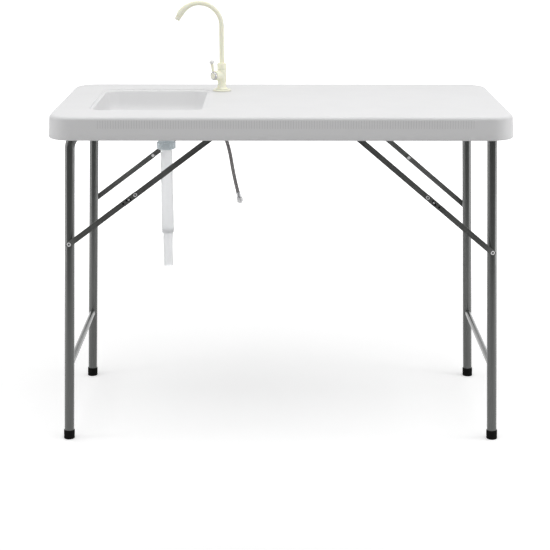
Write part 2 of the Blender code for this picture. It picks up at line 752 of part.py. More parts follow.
def build_leg_frame(side_name, side):
    """Two leg tubes with feet, the pivot bar, the lower crossbar and the stay rivets."""
    sign, offset = side["sign"], side["offset"]
    reach = leg_reach(side)
    frame = add_frame(f"{side_name}_leg_fold", (sign * side["pivot"], 0.0, PIVOT_Z), (0.0, -sign * SPLAY, 0.0))
    axis_x = sign * offset
    tube_end = reach - FOOT_SOLE

    bar_half = BUSH_IN - GAP
    bar_ends = [(0.0, -bar_half, 0.0), (0.0, bar_half, 0.0)]
    hollow_tube(f"{side_name}_pivot_bar", bar_ends, BAR_RADIUS, LEG_WALL, "painted_grey", frame)

    bar_hole = bmesh.new()
    add_cylinder(bar_hole, (0.0, -bar_half, 0.0), (0.0, bar_half, 0.0), BAR_RADIUS + GAP, 20)
    bar_cutter = add_cutter(f"{side_name}_bar_cope", mesh_from(bar_hole, "bar_cope"), frame)

    lug_x, lug_z = sign * offset, -side["stay_down"]
    path = leg_path(side, tube_end)
    for row_name, row in ROWS.items():
        points = [(x, row * LEG_Y, z) for x, z in path]
        leg = hollow_tube(f"{side_name}_{row_name}_leg", points, LEG_RADIUS, LEG_WALL, "painted_grey", frame)
        combine(leg, bar_cutter, "DIFFERENCE")
        rivet_hole = bmesh.new()
        hole_in = (lug_x, row * (LEG_Y + LEG_RADIUS / 2), lug_z)
        hole_out = (lug_x, row * (LEG_Y + LEG_RADIUS * 1.5), lug_z)
        add_cylinder(rivet_hole, hole_in, hole_out, RIVET_SHANK_RADIUS + GAP, 12)
        hole_name = f"{side_name}_{row_name}_lug_hole"
        combine(leg, add_cutter(hole_name, mesh_from(rivet_hole, hole_name), frame), "DIFFERENCE")
        build_foot(f"{side_name}_{row_name}_foot", (axis_x, row * LEG_Y), reach, frame)

    build_crossbar(side_name, axis_x, -(reach - CROSSBAR_HEIGHT), frame)
    build_leg_rivets(side_name, (lug_x, lug_z), frame)
    return frame


def build_foot(name, place, reach, frame):
    """A rubber cap over the leg's end, cut flat where it stands on the floor."""
    bore = LEG_RADIUS + GAP
    inside = -(reach - FOOT_SOLE + GAP)
    low = -(reach + FOOT_RADIUS * math.tan(SPLAY) + 0.001)
    high = -(reach - FOOT_HEIGHT)
    profile = [
        (bore, high),
        (FOOT_RADIUS - 0.0005, high),
        (FOOT_RADIUS, high - 0.001),
        (FOOT_RADIUS, low),
        (0.0, low),
    ]
    cap = profile + [(0.0, inside), (bore, inside)]
    foot = turned(name, cap, "black_rubber", frame, 20)
    foot.location = (*place, 0.0)
    floor = bmesh.new()
    x = math.copysign(leg_foot_x(), frame.location.x)
    add_box(floor, (x - 0.05, place[1] - 0.05, -0.05), (x + 0.05, place[1] + 0.05, 0.0))
    combine(foot, add_cutter(name + "_floor", mesh_from(floor, name + "_floor")), "DIFFERENCE")


def leg_foot_x():
    """How far from the middle a leg's axis meets the floor."""
    return LEG_AXIS_X + PIVOT_Z * math.tan(SPLAY)


def build_crossbar(side_name, axis_x, height, frame):
    """The thin lower bar between the two legs, coped to their tubes."""
    name = f"{side_name}_crossbar"
    ends = [(axis_x, -LEG_Y, height), (axis_x, LEG_Y, height)]
    bar = hollow_tube(name, ends, CROSSBAR_RADIUS, LEG_WALL, "painted_grey", frame, 4)
    cope = bmesh.new()
    for row in ROWS.values():
        low = (axis_x, row * LEG_Y, height - LEG_RADIUS * 2)
        high = (axis_x, row * LEG_Y, height + LEG_RADIUS * 2)
        add_cylinder(cope, low, high, LEG_RADIUS + GAP, 20)
    combine(bar, add_cutter(name + "_cope", mesh_from(cope, name + "_cope"), frame), "DIFFERENCE")


def build_leg_rivets(side_name, lug, frame):
    """Rivets with a spacer ring that hold the lower stays to the legs."""
    head_seat = LOWER_IN + STAY_SHEET + GAP
    tail_radius = RIVET_COLLAR_RADIUS
    tail_seat = LEG_Y + math.sqrt((LEG_RADIUS - LEG_WALL) ** 2 - tail_radius ** 2) - 2 * GAP
    profile = [
        (RIVET_BORE_RADIUS, head_seat + RIVET_HEAD),
        (RIVET_HEAD_RADIUS * 0.7, head_seat + RIVET_HEAD),
        (RIVET_HEAD_RADIUS, head_seat),
        (RIVET_SHANK_RADIUS, head_seat),
        (RIVET_SHANK_RADIUS, SPACER_OUT),
        (SPACER_RADIUS, SPACER_OUT),
        (SPACER_RADIUS, SPACER_IN),
        (RIVET_SHANK_RADIUS, SPACER_IN),
        (RIVET_SHANK_RADIUS, tail_seat),
        (tail_radius, tail_seat),
        (tail_radius, tail_seat - RIVET_TAIL),
        (RIVET_BORE_RADIUS, tail_seat - RIVET_TAIL),
    ]
    for row_name, row in ROWS.items():
        rivet = turned(f"{side_name}_{row_name}_leg_rivet", profile, "bright_steel", frame, 10)
        place_across(rivet, lug[0], lug[1], row)


def stay_sheet(name, start, end, row, inner, frame, tabs):
    """One pressed stay: a shallow channel along X, flat for a tab's length at each listed end."""
    half = (STAY_WIDTH - STAY_SHEET) / 2
    web_y = row * (inner + STAY_SHEET / 2)
    flange_y = row * (inner + STAY_DEPTH)
    corners = [(flange_y, -half), (web_y, -half), (web_y, half), (flange_y, half)]
    faces = [
        [(start, *low), (end, *low), (end, *high), (start, *high)]
        for low, high in zip(corners, corners[1:])
    ]
    stay = add_part(name, sheet_mesh(name, faces), "dark_steel", frame)
    thicken(stay, STAY_SHEET)
    trim = bmesh.new()
    near, far = row * (inner + STAY_SHEET + GAP), row * (inner + STAY_DEPTH * 2)
    for tab_start, tab_end in tabs:
        low = (tab_start, min(near, far), -STAY_WIDTH)
        high = (tab_end, max(near, far), STAY_WIDTH)
        add_box(trim, low, high)
    combine(stay, add_cutter(name + "_tabs", mesh_from(trim, name + "_tabs"), frame), "DIFFERENCE")
    return stay


def stay_holes(stay, row, inner, holes, frame, slot_at=None):
    """Holes of (place along, radius) through a stay and its rivet, and the slot of its lock."""
    shape = bmesh.new()
    low, high = row * (inner - STAY_DEPTH), row * (inner + STAY_DEPTH * 2)
    for x, radius in holes:
        add_cylinder(shape, (x, low, 0.0), (x, high, 0.0), radius, 12)
    if slot_at is not None:
        corner_low = (slot_at - LOCK_SLOT_WIDTH / 2, min(low, high), -LOCK_SLOT_LENGTH / 2)
        corner_high = (slot_at + LOCK_SLOT_WIDTH / 2, max(low, high), LOCK_SLOT_LENGTH / 2)
        add_box(shape, corner_low, corner_high, Matrix.Rotation(LOCK_SLOT_TURN, 4, "Y"))
    name = stay.name + "_holes"
    combine(stay, add_cutter(name, mesh_from(shape, name), frame), "DIFFERENCE")


def stay_frame(name, start, end, parent=None):
    """An empty at a stay's rivet whose own X runs along the stay."""
    run = Vector(end) - Vector(start)
    return add_frame(name, (start[0], 0.0, start[1]), (0.0, math.atan2(-run.y, run.x), 0.0), parent)


def build_stays(side_name, side):
    """The upper and lower stays of one leg frame, each joined to its half of the knuckle rivet."""
    anchor, lug = anchor_point(side), lug_point(side)
    upper_length, lower_length = stay_lengths(side)
    upper_frame = stay_frame(f"{side_name}_upper_stay_pivot", anchor, lug)
    lower_frame = stay_frame(f"{side_name}_lower_stay_pivot", lug, anchor)
    rivet_hole = (0.0, RIVET_SHANK_RADIUS + GAP)
    near_tab = (-STAY_END - STAY_TAB, STAY_TAB)
    head = UPPER_IN + STAY_SHEET + RIVET_HEAD
    outer_half = [
        (0.0, head),
        (RIVET_HEAD_RADIUS * 0.7, head),
        (RIVET_HEAD_RADIUS, head - RIVET_HEAD),
        (RIVET_HEAD_RADIUS, head - RIVET_HEAD - STAY_SHEET / 2),
        (0.0, head - RIVET_HEAD - STAY_SHEET / 2),
    ]
    tail = LOWER_IN - RIVET_TAIL
    inner_half = [
        (0.0, LOWER_OUT),
        (RIVET_COLLAR_RADIUS, LOWER_OUT),
        (RIVET_COLLAR_RADIUS, tail),
        (0.0, tail),
    ]
    for row_name, row in ROWS.items():
        prefix = f"{side_name}_{row_name}"
        lock_hole = (upper_length + STAY_OVERLAP - LOCK_HOLE_FROM_END, LOCK_HOLE_RADIUS)
        upper_name = f"{prefix}_upper_stay"
        upper_end = upper_length + STAY_OVERLAP
        upper = stay_sheet(upper_name, -STAY_END, upper_end, row, UPPER_IN, upper_frame, [near_tab])
        knuckle = turned_cutter(f"{prefix}_knuckle_outer", outer_half, upper_frame)
        place_across(knuckle, upper_length, 0.0, row)
        combine(upper, knuckle, "UNION")
        slot_at = upper_length + LOCK_SLOT_FROM_KNUCKLE
        knuckle_bore = (upper_length, RIVET_BORE_RADIUS)
        stay_holes(upper, row, UPPER_IN, [rivet_hole, knuckle_bore, lock_hole], upper_frame, slot_at)

        lower_name = f"{prefix}_lower_stay"
        lower_end = lower_length + STAY_END
        far_tab = (lower_length - STAY_TAB, lower_end + STAY_TAB)
        lower = stay_sheet(lower_name, -STAY_END, lower_end, row, LOWER_IN, lower_frame, [near_tab, far_tab])
        knuckle = turned_cutter(f"{prefix}_knuckle_inner", inner_half, lower_frame)
        place_across(knuckle, lower_length, 0.0, row)
        combine(lower, knuckle, "UNION")
        stay_holes(lower, row, LOWER_IN, [rivet_hole, (lower_length, RIVET_BORE_RADIUS)], lower_frame)


def build_drain():
    """Drain fitting through the basin floor, with its nut and a pipe that slides up inside another."""
    place = (DRAIN_X, DRAIN_Y, 0.0)
    flange_low = FLOOR_Z + GAP
    flange_high = flange_low + DRAIN_FLANGE
    seat = flange_high - STRAINER_SEAT_DEPTH
    tail_end = BASIN_UNDER - DRAIN_TAIL_LENGTH
    body = [
        (STRAINER_SEAT_RADIUS, flange_high),
        (DRAIN_FLANGE_RADIUS - 0.001, flange_high),
        (DRAIN_FLANGE_RADIUS, flange_low),
        (DRAIN_TAIL_RADIUS, flange_low),
        (DRAIN_TAIL_RADIUS, tail_end),
        (DRAIN_BORE_RADIUS, tail_end),
        (DRAIN_BORE_RADIUS, seat),
        (STRAINER_SEAT_RADIUS, seat),
    ]
    turned("drain_body", body, "milky_plastic").location = place

    strainer_radius = STRAINER_SEAT_RADIUS - GAP
    strainer = turned(
        "drain_strainer",
        [
            (0.0, seat + GAP + STRAINER_THICKNESS),
            (strainer_radius, seat + GAP + STRAINER_THICKNESS),
            (strainer_radius, seat + GAP),
            (0.0, seat + GAP),
        ],
        "bright_steel",
    )
    strainer.location = place
    shape = bmesh.new()
    for index in range(STRAINER_HOLES):
        angle = math.tau * index / STRAINER_HOLES
        x, y = STRAINER_HOLE_CIRCLE * math.cos(angle), STRAINER_HOLE_CIRCLE * math.sin(angle)
        add_cylinder(shape, (x, y, seat - 0.001), (x, y, flange_high + 0.001), STRAINER_HOLE_RADIUS, 8)
    add_cylinder(shape, (0.0, 0.0, seat - 0.001), (0.0, 0.0, flange_high + 0.001), STRAINER_HOLE_RADIUS, 8)
    holes = add_cutter("strainer_holes", mesh_from(shape, "strainer_holes"))
    holes.location = place
    combine(strainer, holes, "DIFFERENCE")

    gasket_high = tail_end - GAP
    gasket_low = gasket_high - DRAIN_GASKET
    gasket = [
        (DRAIN_BORE_RADIUS, gasket_high),
        (DRAIN_TAIL_RADIUS, gasket_high),
        (DRAIN_TAIL_RADIUS, gasket_low),
        (DRAIN_BORE_RADIUS, gasket_low),
    ]
    turned("drain_gasket", gasket, "black_rubber").location = place

    pipe_top = gasket_low - GAP
    flange_under = pipe_top - PIPE_FLANGE
    lip_high = flange_under - GAP
    nut_low = lip_high - DRAIN_NUT_LIP
    nut_high = nut_low + DRAIN_NUT_LENGTH
    nut_bore = DRAIN_TAIL_RADIUS + GAP
    neck = nut_bore + DRAIN_NUT_WALL
    band = neck + DRAIN_NUT_BAND
    nut = [
        (nut_bore, nut_high),
        (neck - 0.0005, nut_high),
        (neck, nut_high - 0.0005),
        (neck, nut_high - DRAIN_NUT_NECK),
        (band, nut_high - DRAIN_NUT_NECK - 0.001),
        (band, nut_low + 0.003),
        (band - 0.003, nut_low),
        (PIPE_TOP_RADIUS + 2 * GAP, nut_low),
        (PIPE_TOP_RADIUS + 2 * GAP, lip_high),
        (nut_bore, lip_high),
    ]
    turned("drain_nut", nut, "blue_nut").location = place

    pipe_end = pipe_top - PIPE_LENGTH
    lip_top = pipe_end + PIPE_LIP
    lip_radius = INNER_PIPE_TOP_RADIUS + GAP
    pipe = [
        (PIPE_TOP_RADIUS - PIPE_WALL, pipe_top),
        (DRAIN_TAIL_RADIUS - 2 * GAP, pipe_top),
        (DRAIN_TAIL_RADIUS - 2 * GAP, flange_under),
        (PIPE_TOP_RADIUS, flange_under),
        (PIPE_END_RADIUS, pipe_end),
        (lip_radius, pipe_end),
        (lip_radius, lip_top),
        (PIPE_END_RADIUS - PIPE_WALL, lip_top),
    ]
    turned("drain_pipe_upper", pipe, "milky_plastic").location = place

    collar_low = lip_top + GAP
    collar_high = collar_low + INNER_COLLAR
    collar_radius = PIPE_TOP_RADIUS - PIPE_WALL - INNER_COLLAR_CLEARANCE
    low = pipe_end - INNER_PIPE_DROP
    inner = [
        (INNER_PIPE_TOP_RADIUS - PIPE_WALL, collar_high),
        (collar_radius, collar_high),
        (collar_radius, collar_low),
        (INNER_PIPE_TOP_RADIUS, collar_low),
        (INNER_PIPE_TOP_RADIUS, pipe_end - 0.001),
        (INNER_PIPE_END_RADIUS, low),
        (INNER_PIPE_END_RADIUS - PIPE_WALL, low),
        (INNER_PIPE_TOP_RADIUS - PIPE_WALL, pipe_end - 0.001),
    ]
    turned("drain_pipe_lower", inner, "milky_plastic").location = place


def spout_path():
    """The spout's middle line in its own frame: up, over a bend, and down to the tip."""
    start = COLLAR_LOW - SPOUT_SOCKET
    path = [(0.0, 0.0, TOP_HEIGHT + start)]
    centre_z = TOP_HEIGHT + SPOUT_BEND_HEIGHT
    for step in range(SPOUT_STEPS + 1):
        angle = SPOUT_BEND_ANGLE * step / SPOUT_STEPS
        x = -SPOUT_BEND_RADIUS * (1 - math.cos(angle))
        path.append((x, 0.0, centre_z + SPOUT_BEND_RADIUS * math.sin(angle)))
    tip_x = path[-1][0] - SPOUT_TIP * math.sin(SPOUT_BEND_ANGLE)
    tip_z = path[-1][2] + SPOUT_TIP * math.cos(SPOUT_BEND_ANGLE)
    path.append((tip_x, 0.0, tip_z))
    return path


def spout_swells(count):
    """The spout's outside grows evenly over the last steps of its bend."""
    end = SPOUT_END_RADIUS / SPOUT_RADIUS
    last = SPOUT_STEPS + 1
    swells = [1.0] * count
    for index in range(SPOUT_FLARE_FROM, count):
        swells[index] = 1 + (end - 1) * min(1.0, (index - SPOUT_FLARE_FROM) / (last - SPOUT_FLARE_FROM))
    return swells


def build_spout():
    """The swan-neck spout and the aerator on its end."""
    frame = add_frame("spout_swivel", (TAP_X, TAP_Y, 0.0))
    path = spout_path()
    hollow_tube("spout", path, SPOUT_RADIUS, SPOUT_WALL, "ivory", frame, 4, spout_swells(len(path)))
    spigot = SPOUT_RADIUS - SPOUT_WALL - 2 * GAP
    profile = [
        (AERATOR_BORE_RADIUS, SPOUT_TIP * 0.8),
        (spigot, SPOUT_TIP * 0.8),
        (spigot, -GAP),
        (AERATOR_RADIUS, -GAP),
        (AERATOR_RADIUS, 0.001 - AERATOR_LENGTH),
        (AERATOR_RADIUS - 0.001, -AERATOR_LENGTH),
        (AERATOR_BORE_RADIUS, -AERATOR_LENGTH),
    ]
    aerator = turned("aerator", profile, "ivory", frame, 16)
    aerator.location = path[-1]
    aerator.rotation_euler = (0.0, math.pi - SPOUT_BEND_ANGLE, 0.0)


def build_tap():
    """Tap body, base, shank and nuts, its lever, and the spout."""
    place = (TAP_X, TAP_Y, 0.0)
    gasket_low = TOP_HEIGHT + GAP
    base_low = gasket_low + TAP_GASKET + GAP
    base_high = base_low + TAP_BASE
    body_low = base_high + GAP
    bore = SHANK_RADIUS + GAP
    gasket = [
        (bore, gasket_low + TAP_GASKET),
        (TAP_GASKET_RADIUS, gasket_low + TAP_GASKET),
        (TAP_GASKET_RADIUS, gasket_low),
        (bore, gasket_low),
    ]
    turned("tap_gasket", gasket, "black_rubber").location = place
    base = [
        (bore, base_high),
        (TAP_BASE_RADIUS - 0.002, base_high),
        (TAP_BASE_RADIUS, base_high - 0.0015),
        (TAP_BASE_RADIUS, base_low),
        (bore, base_low),
    ]
    turned("tap_base", base, "ivory").location = place

    shank_low = DECK_UNDER - SHANK_BELOW_DECK
    shank = [
        (SHANK_BORE_RADIUS, base_high),
        (SHANK_RADIUS, base_high),
        (SHANK_RADIUS, shank_low),
        (SHANK_BORE_RADIUS, shank_low),
    ]
    turned("tap_shank", shank, "bright_steel", sides=20).location = place
    washer_high = DECK_UNDER - GAP
    washer_low = washer_high - SHANK_WASHER
    washer = [
        (bore, washer_high),
        (SHANK_WASHER_RADIUS, washer_high),
        (SHANK_WASHER_RADIUS, washer_low),
        (bore, washer_low),
    ]
    turned("shank_washer", washer, "black_rubber", sides=20).location = place
    nut_high = washer_low - GAP
    nut = [(bore, nut_high), (LOCKNUT_RADIUS, nut_high), (LOCKNUT_RADIUS, nut_high - LOCKNUT), (bore, nut_high - LOCKNUT)]
    hexagonal("shank_locknut", nut, "bright_steel", 20, bore).location = place

    build_tap_body(place, body_low)
    build_lever()
    build_spout()


def hexagonal(name, profile, finish, bore_sides, bore):
    """A six-sided nut: its profile turned in six steps, with a round bore cut through."""
    outer = max(radius for radius, _ in profile)
    high = profile[0][1]
    low = profile[-1][1]
    shape = bmesh.new()
    add_cylinder(shape, (0.0, 0.0, low), (0.0, 0.0, high), outer, 6)
    item = add_part(name, mesh_from(shape, name), finish)
    hole = bmesh.new()
    add_cylinder(hole, (0.0, 0.0, low - 0.002), (0.0, 0.0, high + 0.002), bore, bore_sides)
    cutter = add_cutter(name + "_bore", mesh_from(hole, name + "_bore"))
    cutter.parent = item
    combine(item, cutter, "DIFFERENCE")
    return item


def build_tap_body(place, body_low):
    """The column with its valve barrel, and the collar that holds the spout."""
    socket = SPOUT_RADIUS + GAP
    socket_low = TOP_HEIGHT + COLLAR_LOW - SPOUT_SOCKET - GAP
    body_high = TOP_HEIGHT + COLLAR_LOW - GAP
    body = [
        (socket, body_high),
        (TAP_BODY_RADIUS, body_high),
        (TAP_BODY_RADIUS, TOP_HEIGHT + TAP_BODY_LOW + 0.002),
        (TAP_COLUMN_RADIUS, TOP_HEIGHT + TAP_BODY_LOW),
        (TAP_COLUMN_RADIUS, body_low + 0.008),
        (TAP_COLUMN_RADIUS + 0.0015, body_low + 0.004),
        (TAP_BELL_RADIUS, body_low),
        (0.0, body_low),
        (0.0, socket_low),
        (socket, socket_low),
    ]
    tap = turned("tap_body", body, "ivory")
    tap.location = place
    barrel_z = TOP_HEIGHT + BARREL_ABOVE_TOP
    reach = Vector((math.cos(BARREL_TURN), math.sin(BARREL_TURN), 0.0))
    centre = Vector((TAP_X, TAP_Y, barrel_z))
    shape = bmesh.new()
    add_cylinder(shape, centre + reach * 0.002, centre + reach * BARREL_LENGTH, BARREL_RADIUS, 24)
    combine(tap, add_cutter("barrel", mesh_from(shape, "barrel")), "UNION")
    well = bmesh.new()
    add_cylinder(
        well, (TAP_X, TAP_Y, socket_low), (TAP_X, TAP_Y, body_high + 0.002), socket, 24
    )
    combine(tap, add_cutter("spout_well", mesh_from(well, "spout_well")), "DIFFERENCE")

    collar = [
        (socket, TOP_HEIGHT + COLLAR_HIGH),
        (COLLAR_RADIUS - 0.001, TOP_HEIGHT + COLLAR_HIGH),
        (COLLAR_RADIUS, TOP_HEIGHT + COLLAR_HIGH - 0.001),
        (COLLAR_RADIUS, TOP_HEIGHT + COLLAR_LOW),
        (socket, TOP_HEIGHT + COLLAR_LOW),
    ]
    turned("spout_collar", collar, "ivory").location = place


def build_lever():
    """The valve lever: a hub on the barrel's end, a flared arm and a knob."""
    centre = (TAP_X, TAP_Y, TOP_HEIGHT + BARREL_ABOVE_TOP)
    frame = add_frame("lever_pivot", centre, (0.0, 0.0, BARREL_TURN))
    hub_in = BARREL_LENGTH + GAP
    hub_out = hub_in + LEVER_HUB
    hub = [
        (0.0, hub_out + LEVER_CAP),
        (LEVER_CAP_RADIUS, hub_out + LEVER_CAP),
        (LEVER_CAP_RADIUS, hub_out),
        (LEVER_HUB_RADIUS - 0.001, hub_out),
        (LEVER_HUB_RADIUS, hub_out - 0.001),
        (LEVER_HUB_RADIUS, hub_in),
        (0.0, hub_in),
    ]
    turned("lever_hub", hub, "chrome", frame, 20).rotation_euler = (0.0, math.pi / 2, 0.0)
    rise = LEVER_HUB_RADIUS + GAP + LEVER_ARM_LOW_RADIUS * math.sin(LEVER_LEAN)
    start = rise / math.cos(LEVER_LEAN)
    arm = [
        (0.0, LEVER_ARM_LENGTH),
        (LEVER_ARM_HIGH_RADIUS, LEVER_ARM_LENGTH),
        (LEVER_ARM_LOW_RADIUS, start),
        (0.0, start),
    ]
    place = ((hub_in + hub_out) / 2, 0.0, 0.0)
    lean = (0.0, LEVER_LEAN, 0.0)
    handle = turned("lever_arm", arm, "ivory", frame, 12)
    handle.location, handle.rotation_euler = place, lean
    knob_low = LEVER_ARM_LENGTH + GAP
    knob = [
        (0.0, knob_low + LEVER_KNOB_RADIUS * 1.7),
        (LEVER_KNOB_RADIUS * 0.6, knob_low + LEVER_KNOB_RADIUS * 1.55),
        (LEVER_KNOB_RADIUS, knob_low + LEVER_KNOB_RADIUS),
        (LEVER_KNOB_RADIUS * 0.95, knob_low + LEVER_KNOB_RADIUS * 0.4),
        (LEVER_KNOB_RADIUS * 0.65, knob_low),
        (0.0, knob_low),
    ]
    knob_item = turned("lever_knob", knob, "knob_white", frame, 16)
    knob_item.location, knob_item.rotation_euler = place, lean


def smooth_route(points, count):
    """Evenly numbered points on a Catmull-Rom curve through the route's own points."""
    route = [Vector(point) for point in points]
    route = [2 * route[0] - route[1], *route, 2 * route[-1] - route[-2]]
    spans = len(route) - 3
    result = []
    for index in range(count):
        place = spans * index / (count - 1)
        span = min(int(place), spans - 1)
        t = place - span
        before, start, end, after = route[span:span + 4]
        result.append(
            0.5 * (
                2 * start
                + (end - before) * t
                + (2 * before - 5 * start + 4 * end - after) * t ** 2
                + (3 * start - before - 3 * end + after) * t ** 3
            )
        )
    return result


def build_hose():
    """The braided supply hose that hangs from the tap's shank, with its nut, ferrules and connector."""
    place = (TAP_X, TAP_Y, 0.0)
    shank_low = DECK_UNDER - SHANK_BELOW_DECK
    cup_floor = shank_low - GAP
    nut_high = cup_floor + HOSE_NUT_CUP
    nut_low = nut_high - HOSE_NUT
    shape = bmesh.new()
    add_cylinder(shape, (0.0, 0.0, nut_low), (0.0, 0.0, nut_high), HOSE_NUT_RADIUS, 6)
    nut = add_part("hose_nut", mesh_from(shape, "hose_nut"), "bright_steel")
    nut.location = place
    cup = bmesh.new()
    add_cylinder(cup, (0.0, 0.0, cup_floor), (0.0, 0.0, nut_high + 0.002), SHANK_RADIUS + GAP, 20)
    cutter = add_cutter("hose_nut_cup", mesh_from(cup, "hose_nut_cup"), nut)
    combine(nut, cutter, "DIFFERENCE")

    ferrule_high = nut_low - GAP
    ferrule_low = ferrule_high - FERRULE_LENGTH
    ferrule = [
        (0.0, ferrule_high),
        (FERRULE_RADIUS, ferrule_high),
        (FERRULE_RADIUS, ferrule_low),
        (0.0, ferrule_low),
    ]
    turned("hose_top_ferrule", ferrule, "chrome", sides=16).location = place

    exit_point = Vector((TAP_X, TAP_Y, ferrule_low - GAP))
    route = [exit_point + point for point in smooth_route(HOSE_ROUTE, HOSE_POINTS)]
    curve = tube_curve("supply_hose", route, HOSE_RADIUS, 2)
    add_part("supply_hose", curve, "braid")

    along = (route[-1] - route[-2]).normalized()
    turn = (-along).to_track_quat("Z", "Y").to_euler()
    frame = add_frame("hose_end", route[-1], turn)
    ferrule_end = -GAP - END_FERRULE_LENGTH
    end_ferrule = [
        (0.0, -GAP),
        (FERRULE_RADIUS, -GAP),
        (FERRULE_RADIUS, ferrule_end),
        (0.0, ferrule_end),
    ]
    turned("hose_end_ferrule", end_ferrule, "chrome", frame, 16)
    high = ferrule_end - GAP
    low = high - CONNECTOR_LENGTH
    connector = [
        (0.0, high),
        (CONNECTOR_RADIUS - 0.001, high),
        (CONNECTOR_RADIUS, high - 0.001),
        (CONNECTOR_RADIUS, low),
        (CONNECTOR_NOSE_RADIUS, low),
        (CONNECTOR_NOSE_RADIUS, low - CONNECTOR_NOSE),
        (0.0, low - CONNECTOR_NOSE),
    ]
    turned("hose_connector", connector, "bright_steel", frame, 12)


def main():
    """Build the whole table."""
    build_top()
    build_rails()
    build_table_pivots()
    for side_name, side in SIDES.items():
        build_leg_frame(side_name, side)
        build_stays(side_name, side)
    build_drain()
    build_tap()
    build_hose()


main()
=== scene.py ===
"""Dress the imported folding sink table: its moulded top, leg frames, tap, drain, hose and a plain stage."""

import math

import bmesh
import bpy
import numpy as np
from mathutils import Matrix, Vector
from mathutils.geometry import delaunay_2d_cdt


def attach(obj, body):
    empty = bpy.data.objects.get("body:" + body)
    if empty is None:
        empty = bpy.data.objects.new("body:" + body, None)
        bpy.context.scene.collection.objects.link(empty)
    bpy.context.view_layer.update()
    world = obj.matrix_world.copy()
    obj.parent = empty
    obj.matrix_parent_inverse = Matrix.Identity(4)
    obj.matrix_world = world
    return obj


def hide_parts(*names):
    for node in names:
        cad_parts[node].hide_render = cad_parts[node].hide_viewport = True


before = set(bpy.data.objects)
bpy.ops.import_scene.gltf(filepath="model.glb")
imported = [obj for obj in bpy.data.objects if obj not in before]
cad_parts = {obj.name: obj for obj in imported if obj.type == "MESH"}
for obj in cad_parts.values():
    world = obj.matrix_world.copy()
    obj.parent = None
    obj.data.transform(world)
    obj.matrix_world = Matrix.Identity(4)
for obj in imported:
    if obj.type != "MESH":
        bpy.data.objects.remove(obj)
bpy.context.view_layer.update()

bl_info = {
    "name": "Folding Sink Table",
    "version": (1, 0, 0),
    "blender": (4, 5, 0),
    "location": "View3D > Sidebar > Sink Table",
    "description": "Builds the visible pieces and finishes of a folding sink table",
    "category": "Object",
}

GAP = 0.0003

# Top
TOP_LENGTH = 1.143
TOP_WIDTH = 0.597
TOP_HEIGHT = 0.850
TOP_CORNER = 0.060
EDGE_ROUND = 0.009
DECK_UNDER = 0.830
RIM_Z = 0.792
WALL_TOP_Z = 0.841
RIM_FLARE = (WALL_TOP_Z - RIM_Z) * math.tan(math.radians(3.5))
RIM_ROUND = 0.003
WALL_X = TOP_LENGTH / 2 + RIM_FLARE - 0.0245
WALL_Y = TOP_WIDTH / 2 + RIM_FLARE - 0.0255
RECESS_CORNER = 0.018
FLUTE_PITCH = 0.050
FLUTE_DEPTH = 0.005
FLUTE_STEPS = 12

# Dimples: their radius as a share of the pitch, and rings as shares of the radius and of the depth
DIMPLE_SIZE = 0.19
DIMPLE_SIDES = 14
DIMPLE_RINGS = ((1.0, 0.0), (0.78, 0.22), (0.50, 0.75), (0.0, 1.0))
DIMPLE_ROOM = 0.002

# Basin
BASIN_LENGTH = 0.276
BASIN_WIDTH = 0.360
BASIN_CORNER = 0.036
BASIN_SLOPE = math.tan(math.radians(8))
BASIN_FILLET = 0.014
BASIN_WALL = 0.0045
BASIN_SWEEP = 0.034
FLOOR_Z = 0.779
BASIN_UNDER = 0.774
LEDGE_WIDTH = 0.008
LEDGE_BACK = 0.014
LEDGE_Z = 0.847
BASIN_LEFT = -0.4754
TICKS_FROM = -0.446
TICKS_LONG = 0.9144
TICKS_HIGH = 0.8415
BASIN_X = BASIN_LEFT + BASIN_LENGTH / 2

# Leg frames
SPLAY = math.radians(2.17)
LEG_RADIUS = 0.0125
LEG_ABOVE_SOLE = 0.004
BAR_RADIUS = 0.0095
BAR_HALF = 0.2724
CROSSBAR_RADIUS = 0.008
CROSSBAR_HEIGHT = 0.195
BEND_RADIUS = 0.045
BEND_ANGLE = math.radians(38)
FOOT_RADIUS = 0.0141
FOOT_HEIGHT = 0.024
LEG_Y = 0.2503
PIVOT_Z = 0.8152
SIDES = {
    "left": {"sign": -1.0, "pivot": 0.4917, "offset": 0.0283},
    "right": {"sign": 1.0, "pivot": 0.5200, "offset": 0.0},
}
ROWS = {"front": -1.0, "back": 1.0}

# Tap, drain and hose
TAP_X, TAP_Y = -0.1594, 0.155
DRAIN_X, DRAIN_Y = -0.2974, -0.065
DRAIN_PLACE = (DRAIN_X, DRAIN_Y, 0.0)
DRAIN_HOLE = 0.0188
TAP_PLACE = (TAP_X, TAP_Y, TOP_HEIGHT)
TAP_AXIS = (TAP_X, TAP_Y, 0.0)
PLAIN_SPOTS = ((TAP_X, TAP_Y, 0.030), (DRAIN_X, DRAIN_Y, 0.036))
BARREL_TURN = math.radians(225)
BARREL_REACH = np.array([math.cos(BARREL_TURN), math.sin(BARREL_TURN), 0.0])
BARREL_PLACE = np.array([TAP_X, TAP_Y, TOP_HEIGHT + 0.0435])
LEVER_LEAN = math.radians(10)
SPOUT_RADIUS = 0.0067
SPOUT_END_RADIUS = 0.0093
SPOUT_BEND_RADIUS = 0.0597
SPOUT_BEND_HEIGHT = 0.1764
SPOUT_BEND_ANGLE = math.radians(150)
SPOUT_END = (-math.sin(SPOUT_BEND_ANGLE), 0.0, math.cos(SPOUT_BEND_ANGLE))
HOSE_RADIUS = 0.005
HOSE_EXIT = (TAP_X, TAP_Y, 0.7621)
HOSE_ROUTE = [
    (0.000, 0.000, 0.000),
    (0.000, 0.000, -0.014),
    (0.006, -0.002, -0.034),
    (0.015, -0.006, -0.060),
    (0.022, -0.009, -0.090),
    (0.028, -0.012, -0.125),
    (0.035, -0.014, -0.160),
    (0.0420, -0.0155, -0.190),
]
HOSE_POINTS = 20
HOSE_STATIONS = 161
